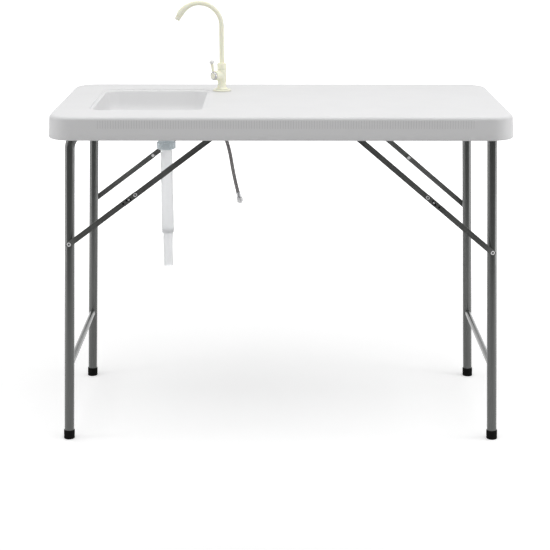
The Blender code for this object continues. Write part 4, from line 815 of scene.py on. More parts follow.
def dimple_middles(inner, outer, pitch):
    """Middles of the dimples between two rings, in a pattern that is centred on the basin.

    Its rows are half a pitch apart, and every other one is moved by half a pitch.
    """
    reach = np.arange(-int(TOP_LENGTH / pitch), int(TOP_LENGTH / pitch) + 1)
    row, place = (grid.ravel() for grid in np.meshgrid(reach, reach))
    middles = np.column_stack([BASIN_X + pitch * (place + 0.5 * ((row + 1) % 2)), pitch * row / 2])
    room = DIMPLE_SIZE * pitch + DIMPLE_ROOM
    kept = inside(middles, outer) & ~inside(middles, inner)
    kept &= np.abs(middles[:, 1]) < RAIL_OUT - RAIL_FLANGE - room
    for ring in (inner, outer):
        kept &= np.linalg.norm(middles[:, None] - ring[None, :, :2], axis=2).min(axis=1) > room
    for x, y, clear in PLAIN_SPOTS:
        kept &= np.hypot(middles[:, 0] - x, middles[:, 1] - y) > clear
    return middles[kept]


def dimpled_sheet(inner, outer, pitch, depth):
    """The points of the dimples in the flat sheet between two rings, and Delaunay triangles that face down.

    The triangles number the inner ring's points first, then the outer ring's, then the dimples'. Each
    dimple is one middle point and rings of points round it, deeper towards the middle.
    """
    middles = dimple_middles(inner, outer, pitch)
    angle = np.arange(DIMPLE_SIDES) * math.tau / DIMPLE_SIDES
    radius = DIMPLE_SIZE * pitch
    one = [
        (share * radius * math.cos(a), share * radius * math.sin(a), deep * depth)
        for share, deep in DIMPLE_RINGS[:-1] for a in angle
    ]
    one = np.array(one + [(0.0, 0.0, DIMPLE_RINGS[-1][1] * depth)])
    dimples = (lifted(middles, inner[0, 2])[:, None] + one).reshape(-1, 3)
    flat = np.vstack([inner, outer, dimples])[:, :2]
    starts = [0, len(inner)] + list(range(2 * len(inner), len(flat), len(one)))
    sizes = [len(inner), len(inner)] + [DIMPLE_SIDES] * len(middles)
    edges = [(start + i, start + (i + 1) % size) for start, size in zip(starts, sizes) for i in range(size)]
    _, _, faces, sources, _, _ = delaunay_2d_cdt([Vector(point) for point in flat], edges, [], 1, 1e-7)
    faces = np.array([source[0] for source in sources])[np.array(faces)]
    faces = faces[(faces >= len(inner)).any(axis=1)]
    one_side, other_side = (flat[faces[:, place]] - flat[faces[:, 0]] for place in (1, 2))
    up = one_side[:, 0] * other_side[:, 1] > one_side[:, 1] * other_side[:, 0]
    faces[up] = faces[up, ::-1]
    return dimples, faces


def top_shape(pitch, depth):
    """The top as one closed shape: rings all the way round, and two flat sheets with dimples underneath."""
    rings, sheets = top_rings()
    points, quads, triangles = surface(rings, round_v=True)
    columns = rings.shape[1]
    for start in sheets:
        dimples, faces = dimpled_sheet(rings[start], rings[start + 1], pitch, depth)
        rows = start * columns + np.arange(2 * columns)
        number = np.concatenate([rows, len(points) + np.arange(len(dimples))])
        points = np.vstack([points, dimples])
        triangles = np.vstack([triangles, number[faces]])
    quads = np.delete(quads.reshape(-1, columns, 4), sheets, axis=0).reshape(-1, 4)
    return points, quads, triangles


def wall_reach(height):
    """How far in front of the middle the top's front wall stands at a height."""
    share = (WALL_TOP_Z - height) / (WALL_TOP_Z - RIM_Z - RIM_ROUND)
    return TOP_WIDTH / 2 + RIM_FLARE * share


def tick_shapes(pitch, length, width, proud):
    """A row of ticks on the front wall: each is a closed low ridge with sloping sides that follows the wall."""
    # The ticks take a darker finish than the top: painted shade along the ridges
    place = TICKS_FROM + np.arange(int(round(TICKS_LONG / pitch)) + 1) * pitch
    across_tick = np.array([-0.5, -0.3, 0.3, 0.5]) * width
    low, high = TICKS_HIGH - length, TICKS_HIGH
    height = np.array([low, low + 0.0003, high - 0.0003, high])
    end, middle = (-1.6, -0.8, -0.8, -1.6), (-1.6, 1.0, 1.0, -1.6)
    raised = np.array([end, middle, middle, end])
    reach = np.array([wall_reach(z) for z in height])[:, None]
    x, z = 0.0 * raised + across_tick, 0.0 * raised + height[:, None]
    one = np.stack([x, -(reach + raised * proud), z], axis=-1)
    points = (one.reshape(1, 16, 3) + place[:, None, None] * np.array([1.0, 0.0, 0.0])).reshape(-1, 3)
    ring = np.array([(0, 1), (1, 2), (2, 3), (3, 0)])
    walls = [(4 * row + a, 4 * row + b, 4 * row + 4 + b, 4 * row + 4 + a) for row in range(3) for a, b in ring]
    faces = np.array(walls + [(3, 2, 1, 0), (12, 13, 14, 15)])
    quads = (faces[None] + 16 * np.arange(len(place))[:, None, None]).reshape(-1, 4)
    return points, quads, np.empty((0, 3), int)


# Shapes of the leg frames


def leg_axes(side):
    """The three axes of a leg frame, which leans outwards by its splay."""
    return tilted(-side["sign"] * SPLAY)


def leg_reach(side):
    """The distance along a leg from its pivot's level to the floor."""
    return (PIVOT_Z + side["offset"] * math.sin(SPLAY)) / math.cos(SPLAY)


def leg_path(side, length):
    """A leg's middle line in its frame: a stub from the pivot bar, a bend, and a long straight."""
    offset = side["offset"]
    if offset == 0.0:
        return np.array([(0.0, 0.0, z) for z in np.linspace(-length, 0.002, 12)])
    stub = (offset - BEND_RADIUS * (1 - math.cos(BEND_ANGLE))) / math.sin(BEND_ANGLE)
    drop = stub * math.cos(BEND_ANGLE) + BEND_RADIUS * math.sin(BEND_ANGLE)
    straight = [(offset, 0.0, z) for z in np.linspace(-length, -drop - 0.002, 10)]
    bend = [
        (offset - BEND_RADIUS * (1 - math.cos(a)), 0.0, BEND_RADIUS * math.sin(a) - drop)
        for a in np.linspace(0.0, BEND_ANGLE, 12)
    ]
    end = [(-0.002 * math.sin(BEND_ANGLE), 0.0, 0.002 * math.cos(BEND_ANGLE))]
    return np.array(straight + bend + end) * (side["sign"], 1.0, 1.0)


def foot_shape(side):
    """A rubber cap: a cup over the tube with a groove round it, its sole cut to the floor."""
    reach = leg_reach(side)
    top, low = -(reach - FOOT_HEIGHT), -reach
    wall = [(-0.0012, 0.0), (0.0, 0.0012), (0.0, 0.0050), (-0.0005, 0.0058), (-0.0005, 0.0072), (0.0, 0.0080)]
    wall += [(0.0, 0.0225), (-0.0008, FOOT_HEIGHT)]
    profile = [(0.0, 0.0)] + [(FOOT_RADIUS + out, height) for out, height in wall]
    profile += [(LEG_RADIUS, FOOT_HEIGHT), (LEG_RADIUS, 0.0225), (0.0, 0.0225)]
    points, quads, triangles = turned(soften(profile, 0.0004, steps=3), 48)
    slope = points[:, 0] * math.tan(side["sign"] * SPLAY)
    points = points + (side["sign"] * side["offset"], 0.0, low)
    share = np.clip((top - points[:, 2]) / FOOT_HEIGHT, 0.0, 1.0) ** 6
    points[:, 2] -= slope * share
    return points, quads, triangles


def crossbar_shape(side):
    """The thin lower bar between the two legs, which runs a little way into each tube."""
    height = -(leg_reach(side) - CROSSBAR_HEIGHT)
    half = LEG_Y - LEG_RADIUS * 0.6
    x = side["sign"] * side["offset"]
    y = np.linspace(-half, half, 9)
    path = np.column_stack([np.full(9, x), y, np.full(9, height)])
    return swept(path, CROSSBAR_RADIUS, side=(1.0, 0.0, 0.0), sides=36)


def crossbar_welds(side):
    """A bead round each end of the lower bar: a ring of the bar's radius laid on the leg's round side."""
    angle = np.arange(48) * math.tau / 48
    reach = CROSSBAR_RADIUS + 0.0004
    x, z = reach * np.cos(angle), reach * np.sin(angle)
    y = LEG_Y - np.sqrt(LEG_RADIUS ** 2 - x ** 2) - 0.0002
    ripple = 0.00035 * np.sin(angle * 11)
    place = (side["sign"] * side["offset"], 0.0, -(leg_reach(side) - CROSSBAR_HEIGHT))
    rings = [np.column_stack([x, row * (y + ripple), z]) + place for row in (-1.0, 1.0)]
    return joined([outward(beaded(ring, 0.0013)) for ring in rings])


def pivot_welds():
    """A bead under each leg's head, along both sides of the pivot bar."""
    angle = np.arange(48) * math.tau / 48
    reach = BAR_RADIUS + 0.0003
    x, y = LEG_RADIUS * np.cos(angle), LEG_RADIUS * np.sin(angle)
    z = -np.sqrt(np.maximum(reach ** 2 - x ** 2, 0.000004))
    ripple = 0.0003 * np.sin(angle * 13)
    rings = [np.column_stack([x * 0.92, y * 1.02 + row * LEG_Y, z + ripple]) for row in (-1.0, 1.0)]
    return joined([outward(beaded(ring, 0.0012)) for ring in rings])


# Shapes of the rails, stays and rivets


def smooth_step(value):
    """A share from 0 to 1 that starts and ends level."""
    share = np.clip(value, 0.0, 1.0)
    return share * share * (3 - 2 * share)


def stay_shape(length_low, length_high, inner, row, tab_high):
    """A stay along X from one rounded end to the other: a channel that is flat at its tabs.

    The half width follows a half circle at each end. The flanges rise over 5 mm past each tab, and at
    an end that has none they fall over its last 4 mm.
    """
    half, thin = STAY_WIDTH / 2, STAY_SHEET / 2
    low_tab, high_tab = STAY_TAB - 0.001, length_high - STAY_END - STAY_TAB + 0.001
    curve = half * (1 - np.cos(np.linspace(0.06, math.pi / 2, 9)))
    step = np.linspace(0.0, 0.006, 7)
    places = [length_low + curve, low_tab + step, np.linspace(0.03, length_high - 0.03, 5)]
    if tab_high:
        places += [high_tab - step[::-1]]
    x = np.concatenate(places + [length_high - curve[::-1]])
    rise = smooth_step((x - low_tab) / 0.005)
    rise = rise * smooth_step((high_tab - x) / 0.005 if tab_high else (length_high - x) / 0.004)
    from_end = np.minimum(x - length_low, length_high - x)
    outline = np.sqrt(np.maximum(half ** 2 - np.maximum(half - from_end, 0) ** 2, 0))
    width = np.maximum(outline - thin, 0.0004)
    bend = np.minimum(thin + 0.0009 * rise, width)
    return pressed(*channel(x, width, thin + (STAY_DEPTH - 2 * thin) * rise, bend, inner, row), STAY_SHEET)


def rail_shape(row):
    """An angle section along X: a web on the apron's wall and a flange under the deck, with one bend."""
    high = DECK_UNDER - GAP - RAIL_SHEET / 2
    angle = np.linspace(0.0, math.pi / 2, 7)
    web = RAIL_IN + RAIL_SHEET / 2
    y = np.concatenate([[web], web - RAIL_BEND * (1 - np.cos(angle)), [RAIL_OUT - RAIL_FLANGE]])
    z = np.concatenate([[RAIL_LOW], high - RAIL_BEND * (1 - np.sin(angle)), [high]])
    lean = np.concatenate([[0.0], angle, [math.pi / 2]])
    x = np.array([-RAIL_END, -RAIL_END + 0.0005, 0.0, RAIL_END - 0.0005, RAIL_END])
    shrink = np.array([0.0004, 0.0, 0.0, 0.0, 0.0004])[:, None]
    centre = np.stack([x[:, None] + 0.0 * y, row * (y + 0.0 * x[:, None]), z + 0.0 * x[:, None]], axis=-1)
    centre[:, 0, 2] += shrink[:, 0]
    centre[:, -1, 1] += row * shrink[:, 0]
    normal = np.broadcast_to(np.column_stack([0.0 * lean, row * np.cos(lean), np.sin(lean)]), centre.shape)
    return pressed(centre, normal, RAIL_SHEET)


def screw_places():
    """The rail screws' places along X: by each pivot and by each anchor rivet."""
    outer = (-SIDES["left"]["pivot"] - SCREW_FROM_PIVOT, SIDES["right"]["pivot"] - SCREW_FROM_PIVOT)
    inner = (STAYS["left"]["anchor"][0] + SCREW_FROM_ANCHOR, STAYS["right"]["anchor"][0] - SCREW_FROM_ANCHOR)
    return [outer[0], *inner, outer[1]]


def screw_shape():
    """A pan head on a short shank, its profile turned about the screw's axis."""
    seat = RAIL_IN - GAP
    head = seat - 0.0017
    profile = [(0.0, head), (0.0026, head), (0.0036, head + 0.0004), (0.0040, head + 0.0010), (0.0040, seat)]
    profile += [(0.0018, seat), (0.0018, WALL_Y + 0.0075), (0.0, WALL_Y + 0.0095)]
    return outward(turned(soften(profile[::-1], 0.0003, steps=3), 48))


def rivet_shape(rows, bore_depth):
    """A tubular rivet: its head is rolled over a hollow, and the rest of it is solid inside.

    Rows run from the head inwards as (radius, distance along it), the first on the hollow's edge.
    """
    # The fan at the hollow's bottom is the part that takes the near-black painted shade
    hollow = [(0.0, bore_depth), (0.0024, bore_depth), (0.0025, bore_depth)]
    return turned(soften(hollow + rows, 0.0004, steps=4), 40)


def rolled_head(seat, out):
    """The rows of a rivet's rolled head on its seat, from its hollow's edge round to its stem."""
    rows = ((0.0028, 0.0016), (0.0045, 0.0015), (0.0052, 0.0006), (0.0052, 0.0), (RIVET_STEM, 0.0))
    return [(radius, seat + out * height) for radius, height in rows]


def oblong(long, wide, low, high, row):
    """An upright plate with round ends, from one distance to another out of the middle plane."""
    angle = np.arange(32) * math.tau / 32
    x = wide * np.cos(angle) + np.sign(np.round(np.cos(angle), 6)) * (long - wide)
    outline = np.column_stack([x, np.zeros(32), wide * np.sin(angle)])
    reach = np.array([low, low + 0.0002, high - 0.0002, high])
    scale = np.array([0.9, 1.0, 1.0, 0.9])
    grid = outline[None] * scale[:, None, None] + np.array([0.0, row, 0.0]) * reach[:, None, None]
    return surface(grid, low_pole=(0.0, row * low, 0.0), high_pole=(0.0, row * high, 0.0))


# Shapes of the tap, the drain and the hose


def spout_path():
    """The spout's middle line: up, over a bend, and down to the tip."""
    centre_x = TAP_X - SPOUT_BEND_RADIUS
    top = TOP_HEIGHT + SPOUT_BEND_HEIGHT
    rise = [(TAP_X, TAP_Y, z) for z in np.linspace(TOP_HEIGHT + 0.0520, top, 8)]
    angle = np.linspace(0.0, SPOUT_BEND_ANGLE, 41)[1:]
    x, z = centre_x + SPOUT_BEND_RADIUS * np.cos(angle), top + SPOUT_BEND_RADIUS * np.sin(angle)
    bend = np.column_stack([x, np.full(len(angle), TAP_Y), z])
    return np.vstack([rise, bend, bend[-1] + 0.003 * np.array(SPOUT_END)])


def spout_radii(count):
    """The spout's radius along its line: even, then growing over the last third of its bend."""
    share = smooth_step((np.arange(count) - (count - 15)) / 13.0)
    return SPOUT_RADIUS + (SPOUT_END_RADIUS - SPOUT_RADIUS) * share


def smooth_route(points, count):
    """Points on a Catmull-Rom curve through a route: a cubic of the four points round each stretch."""
    route = np.asarray(points, float)
    route = np.vstack([2 * route[0] - route[1], route, 2 * route[-1] - route[-2]])
    place = (len(route) - 3) * np.arange(count) / (count - 1)
    span = np.minimum(place.astype(int), len(route) - 4)
    share = (place - span)[:, None]
    before, start, end, after = (route[span + step] for step in range(4))
    return 0.5 * (
        2 * start
        + (end - before) * share
        + (2 * before - 5 * start + 4 * end - after) * share ** 2
        + (3 * start - before - 3 * end + after) * share ** 3
    )


def hose_line(count=HOSE_POINTS):
    """The hose's middle line in the world."""
    return smooth_route(HOSE_ROUTE, count) + np.asarray(HOSE_EXIT)


def hose_end_axes(line):
    """The axes of the pieces on the hose's end, the last against the hose's run."""
    return facing(line[-2] - line[-1], up=(0.0, 1.0, 0.0))


def crimped(low, high):
    """A ferrule's profile: a sleeve with three shallow rings pressed in."""
    z = np.linspace(low, high, 40)
    share = (z - low) / (high - low)
    press = 0.00045 * np.clip(np.cos(share * math.tau * 3.5) * 2.2 - 1.0, 0.0, 1.0)
    edge = 0.0006 * (np.clip(1 - share / 0.06, 0, 1) ** 2 + np.clip(1 - (1 - share) / 0.06, 0, 1) ** 2)
    return np.vstack([(0.0, low), np.column_stack([0.0065 - press - edge, z]), (0.0, high)])


# What a user may change


def colour_setting(name, description, red, green, blue):
    """A colour that a user may change."""
    default = (red, green, blue, 1.0)
    return bpy.props.FloatVectorProperty(
        name=name, description=description, subtype="COLOR", size=4, default=default, min=0.0, max=1.0,
    )


def number_setting(name, description, default, least=0.0, unit="NONE"):
    """A size, a power or a plain number that a user may change."""
    return bpy.props.FloatProperty(name=name, description=description, default=default, min=least, unit=unit)


class TopLooks(bpy.types.PropertyGroup):
    """Sizes and colours of the moulded top."""

    colour: colour_setting("Plastic", "Colour of the moulded plastic", 0.80, 0.80, 0.805)
    # The ticks' darker colour is painted shade on their low ridges
    tick_painted_shade_colour: colour_setting("Ticks", "Colour of the ruler's ticks", 0.62, 0.62, 0.62)
    tick_pitch: number_setting("Tick pitch", "Distance between ticks", 0.00635, 0.002, "LENGTH")
    tick_length: number_setting("Tick length", "Height of a tick", 0.020, 0.002, "LENGTH")
    dimple_pitch: number_setting("Dimple pitch", "Distance between dimples underneath", 0.050, 0.02, "LENGTH")
    dimple_depth: number_setting("Dimple depth", "Depth of the dimples underneath", 0.0035, 0.0, "LENGTH")


class FrameLooks(bpy.types.PropertyGroup):
    """Colours of the leg frames, stays and rails."""

    paint_colour: colour_setting("Leg paint", "Colour of the leg tubes", 0.050, 0.055, 0.051)
    stay_colour: colour_setting("Stays", "Colour of the stays and rails", 0.150, 0.153, 0.148)
    steel_colour: colour_setting("Bright steel", "Colour of the rivets and nuts", 0.92, 0.92, 0.93)


class TapLooks(bpy.types.PropertyGroup):
    """Colours of the tap."""

    ivory: colour_setting("Tap", "Colour of the tap's plastic", 0.98, 0.97, 0.79)
    knob: colour_setting("Knob", "Colour of the lever's knob", 0.86, 0.86, 0.85)


class DrainLooks(bpy.types.PropertyGroup):
    """Colours of the drain."""

    pipe_colour: colour_setting("Pipes", "Colour of the drain pipes", 0.92, 0.925, 0.93)
    nut_colour: colour_setting("Nut", "Colour of the union nut", 0.88, 0.96, 1.0)


class HoseLooks(bpy.types.PropertyGroup):
    """The supply hose's braid."""

    colour: colour_setting("Braid", "Colour of the braid's wire", 0.42, 0.40, 0.40)
    strands: bpy.props.IntProperty(
        name="Strands", description="Strands each way round the hose", default=8, min=3,
    )
    crossings: number_setting("Crossings", "Turns of a strand along the hose", 52.0)


class StageLooks(bpy.types.PropertyGroup):
    """The floor and the lamps."""

    floor_colour: colour_setting("Floor", "Colour of the floor", 0.90, 0.90, 0.90)
    lamp_power: number_setting("Lamp", "Power of the overhead lamp", 43.5, unit="POWER")
    side_power: number_setting("Side lamps", "Power of the right lamp, more than the left one's", 9.0, unit="POWER")
    fill_light: number_setting("Even light", "Strength of the plain light from all round", 0.46)


# Operators, one for each piece or group of like pieces


class SINKTABLE_OT_stage(bpy.types.Operator):
    """Add the camera, the lamps, the white surroundings and the floor"""

    bl_idname = "sink_table.stage"
    bl_label = "Stage"

    def execute(self, context):
        scene = context.scene
        looks = scene.sink_table_stage
        scene.view_settings.view_transform = "Standard"
        camera = bpy.data.objects.new("camera", bpy.data.cameras.new("camera"))
        scene.collection.objects.link(camera)
        camera.data.lens = CAMERA_LENS
        camera.data.sensor_width = CAMERA_SENSOR
        camera.data.sensor_fit = "HORIZONTAL"
        camera.location = CAMERA_PLACE
        camera.rotation_euler = [math.radians(angle) for angle in CAMERA_TURN]
        scene.camera = camera
        for name, (place, (tilt, turn), size, setting, share) in LAMPS.items():
            light = bpy.data.lights.new(name, "AREA")
            light.shape = "RECTANGLE"
            light.size, light.size_y = size
            light.energy = getattr(looks, setting) * share
            lamp = bpy.data.objects.new(name, light)
            lamp.location = place
            lamp.rotation_euler = (math.radians(tilt), 0.0, math.radians(turn))
            scene.collection.objects.link(lamp)
        self.surroundings(scene, looks)
        grid = FLOOR_HALF * np.array([[(-1.0, -1.0, 0.0), (1.0, -1.0, 0.0)], [(-1.0, 1.0, 0.0), (1.0, 1.0, 0.0)]])
        mesh = make_mesh("floor", surface(grid, round_u=False))
        mesh.materials.append(self.floor_finish(looks.floor_colour))
        floor = bpy.data.objects.new("floor", mesh)
        scene.collection.objects.link(floor)
        return {"FINISHED"}

    def surroundings(self, scene, looks):
        """White where the camera looks, white at the sides in mirrored light, and an even light on the object."""
        world = bpy.data.worlds.new("surroundings")
        world.use_nodes = True
        tree = world.node_tree
        shader = tree.nodes["Background"]
        rays, clear = self.rays(tree)
        seen = maths(tree, "MAXIMUM", clear, rays["Is Glossy Ray"])
        toward = add(tree, "SeparateXYZ", {0: add(tree, "TexCoord").outputs["Generated"]}).outputs["Y"]
        mirror = ranged(tree, toward, (-0.95, -0.2), (0.25, 1.0))
        mirrored = maths(tree, "MULTIPLY", rays["Is Glossy Ray"], mirror)
        lit = maths(tree, "MULTIPLY", maths(tree, "SUBTRACT", 1.0, seen), looks.fill_light)
        strength = maths(tree, "ADD", maths(tree, "MAXIMUM", clear, mirrored), lit)
        tree.links.new(strength, shader.inputs["Strength"])
        shader.inputs["Color"].default_value = (1.0, 1.0, 1.0, 1.0)
        scene.world = world

    def rays(self, tree):
        """The kinds of light ray, and which come from the camera, straight or through a clear piece."""
        rays = add(tree, "LightPath").outputs
        return rays, maths(tree, "MAXIMUM", rays["Is Camera Ray"], rays["Is Transmission Ray"])

    def floor_finish(self, colour):
        """A pale floor that the camera sees as near white and that keeps the object's shadow."""
        material, tree, shader = start_material("floor_sheet")
        grain = use_group(tree, grain_group(), {"Grain Scale": 60.0, "Mottle Scale": 1.5, "Pebble": 0.0})
        place = add(tree, "TexCoord").outputs["Object"]
        front = add(tree, "SeparateXYZ", {0: place}).outputs["Y"]
        near = ranged(tree, front, (-2.2, -0.5), (0.12, 1.0))
        mottled = mixed_colour(tree, grain.outputs["Mottle"], colour, darker(colour, 0.995))
        tree.links.new(mixed_colour(tree, near, (0.1, 0.1, 0.1), mottled), shader.inputs["Base Color"])
        shader.inputs["Roughness"].default_value = 0.9
        shader.inputs["Specular IOR Level"].default_value = 0.1
        rays, clear = self.rays(tree)
        seen = maths(tree, "MAXIMUM", clear, maths(tree, "MULTIPLY", rays["Is Glossy Ray"], near))
        away = add(tree, "VectorMath", {0: place}, operation="LENGTH").outputs["Value"]
        glow = maths(tree, "MULTIPLY", seen, ranged(tree, away, (0.9, 2.6), (0.36, 1.0)))
        tree.links.new(glow, shader.inputs["Emission Strength"])
        shader.inputs["Emission Color"].default_value = (1.0, 1.0, 1.0, 1.0)
        above = maths(tree, "SUBTRACT", 1.0, add(tree, "NewGeometry").outputs["Backfacing"])
        tree.links.new(above, shader.inputs["Alpha"])
        return material


class SINKTABLE_OT_hose(bpy.types.Operator):
    """Add the braided supply hose with its nut, ferrules and connector"""

    bl_idname = "sink_table.hose"
    bl_label = "Supply hose"

    def execute(self, context):
        line = hose_line(HOSE_STATIONS)
        shape = swept(line, HOSE_RADIUS, sides=HOSE_SIDES)
        length = np.concatenate([[0.0], np.cumsum(np.linalg.norm(np.diff(line, axis=0), axis=1))])
        uv = np.vstack([self.braid_map(length / length[-1]), np.zeros((shape[2].size, 2))])
        hose = add_piece("braided_hose", shape, BRAID, "table", ["supply_hose"], uv)
        nut = [(0.0, 0.7807), (0.0112, 0.7807), (0.0134, 0.7817), (0.0134, 0.8017), (0.0112, 0.8027)]
        nut += [(0.0, 0.8027)]
        add_turned(
            "hose_union_nut", nut, 0.0004, "zinc_steel", "bright_metal", ["hose_nut"],
            place=TAP_AXIS, sides=96, steps=4, flats=0.0117,
        )
        shape = placed(turned(crimped(0.7624, 0.7804), 40), UPRIGHT, TAP_AXIS)
        add_piece("hose_upper_ferrule", shape, "polished_plating", "table", ["hose_top_ferrule"])
        end = self.end_fittings(hose_line())
        return {"FINISHED"}

    def braid_map(self, along):
        """The UV map of the hose's faces, corner by corner: U goes round it and V along it, each from 0 to 1."""
        round_it = np.arange(HOSE_SIDES + 1) / HOSE_SIDES
        row, column = np.meshgrid(np.arange(len(along) - 1), np.arange(HOSE_SIDES), indexing="ij")
        corners = ((0, 0), (0, 1), (1, 1), (1, 0))
        uv = [np.stack([round_it[column + c], along[row + r]], axis=-1) for r, c in corners]
        return np.stack(uv, axis=-2).reshape(-1, 2)

    def end_fittings(self, line):
        """The end ferrule and the slotted connector, in line with the hose's end."""
        axes, end = hose_end_axes(line), line[-1]
        shape = placed(turned(crimped(-GAP - 0.014, -GAP), 40), axes, end)
        lower = add_piece(
            "hose_lower_ferrule", shape, "polished_plating", "table", ["hose_end_ferrule"],
        )
        high = -0.0146
        low = high - 0.013
        profile = [(0.0, low - 0.004), (0.0052, low - 0.004), (0.0060, low - 0.0034), (0.0060, low)]
        profile += [(0.0080, low), (0.0088, low + 0.0008), (0.0088, high - 0.0012), (0.0076, high), (0.0, high)]
        points, quads, triangles = turned(soften(profile, 0.0003, steps=3), 72)
        reach = np.hypot(points[:, 0], points[:, 1])
        turn = np.arctan2(points[:, 1], points[:, 0])
        slot = 0.0009 * np.clip(np.cos(turn * 12) * 3 - 1.4, 0.0, 1.0) * (reach > 0.0078)
        points[:, :2] *= (1 - slot / np.maximum(reach, 1e-6))[:, None]
        shape = placed((points, quads, triangles), axes, end)
        knob = add_piece("hose_coupling", shape, "zinc_steel", "table", ["hose_connector"])
        return [lower, knob]


class SINKTABLE_OT_top(bpy.types.Operator):
    """Add the moulded top with its basin and the ruler on its front wall"""

    bl_idname = "sink_table.top"
    bl_label = "Moulded top"

    def execute(self, context):
        looks = context.scene.sink_table_top
        shape = top_shape(looks.dimple_pitch, looks.dimple_depth)
        add_piece("moulded_top", shape, "moulded_plastic", "table", ["tabletop"])
        ticks = tick_shapes(looks.tick_pitch, looks.tick_length, 0.0011, 0.00025)
        # The ticks' finish is darker than the top's: painted shade
        add_piece("ruler_ticks", ticks, "tick_plastic", "table")
        return {"FINISHED"}


class SINKTABLE_OT_legs(bpy.types.Operator):
    """Add the leg tubes, crossbars, pivot bars and rubber feet"""

    bl_idname = "sink_table.legs"
    bl_label = "Leg frames"

    def execute(self, context):
        for side_name, side in SIDES.items():
            axes = leg_axes(side)
            origin = (side["sign"] * side["pivot"], 0.0, PIVOT_Z)
            body = f"{side_name}_legs"

            def add_painted(name, shape, nodes=()):
                add_piece(name, placed(shape, axes, origin), "grey_paint", body, nodes)

            add_painted(f"{side_name}_weld_beads", joined([crossbar_welds(side), pivot_welds()]))
            path = leg_path(side, leg_reach(side) - LEG_ABOVE_SOLE)
            for row_name, row in ROWS.items():
                prefix = f"{side_name}_{row_name}"
                tube = swept(path + (0.0, row * LEG_Y, 0.0), LEG_RADIUS, sides=48)
                add_painted(f"{prefix}_tube", tube, [f"{prefix}_leg"])
                points, quads, triangles = foot_shape(side)
                foot = placed((points + (0.0, row * LEG_Y, 0.0), quads, triangles), axes, origin)
                name = f"{prefix}_rubber_foot"
                add_piece(name, foot, "black_foot_rubber", body, [f"{prefix}_foot"])
            add_painted(f"{side_name}_lower_bar", crossbar_shape(side), [f"{side_name}_crossbar"])
            y = np.array([-BAR_HALF, -BAR_HALF + 0.001, BAR_HALF - 0.001, BAR_HALF])
            path = np.column_stack([np.zeros(4), y, np.zeros(4)])
            radius = BAR_RADIUS - np.array([0.0005, 0.0, 0.0, 0.0005])
            bar = swept(path, radius, side=(1.0, 0.0, 0.0))
            add_painted(f"{side_name}_pivot_tube", bar, [f"{side_name}_pivot_bar"])
        return {"FINISHED"}


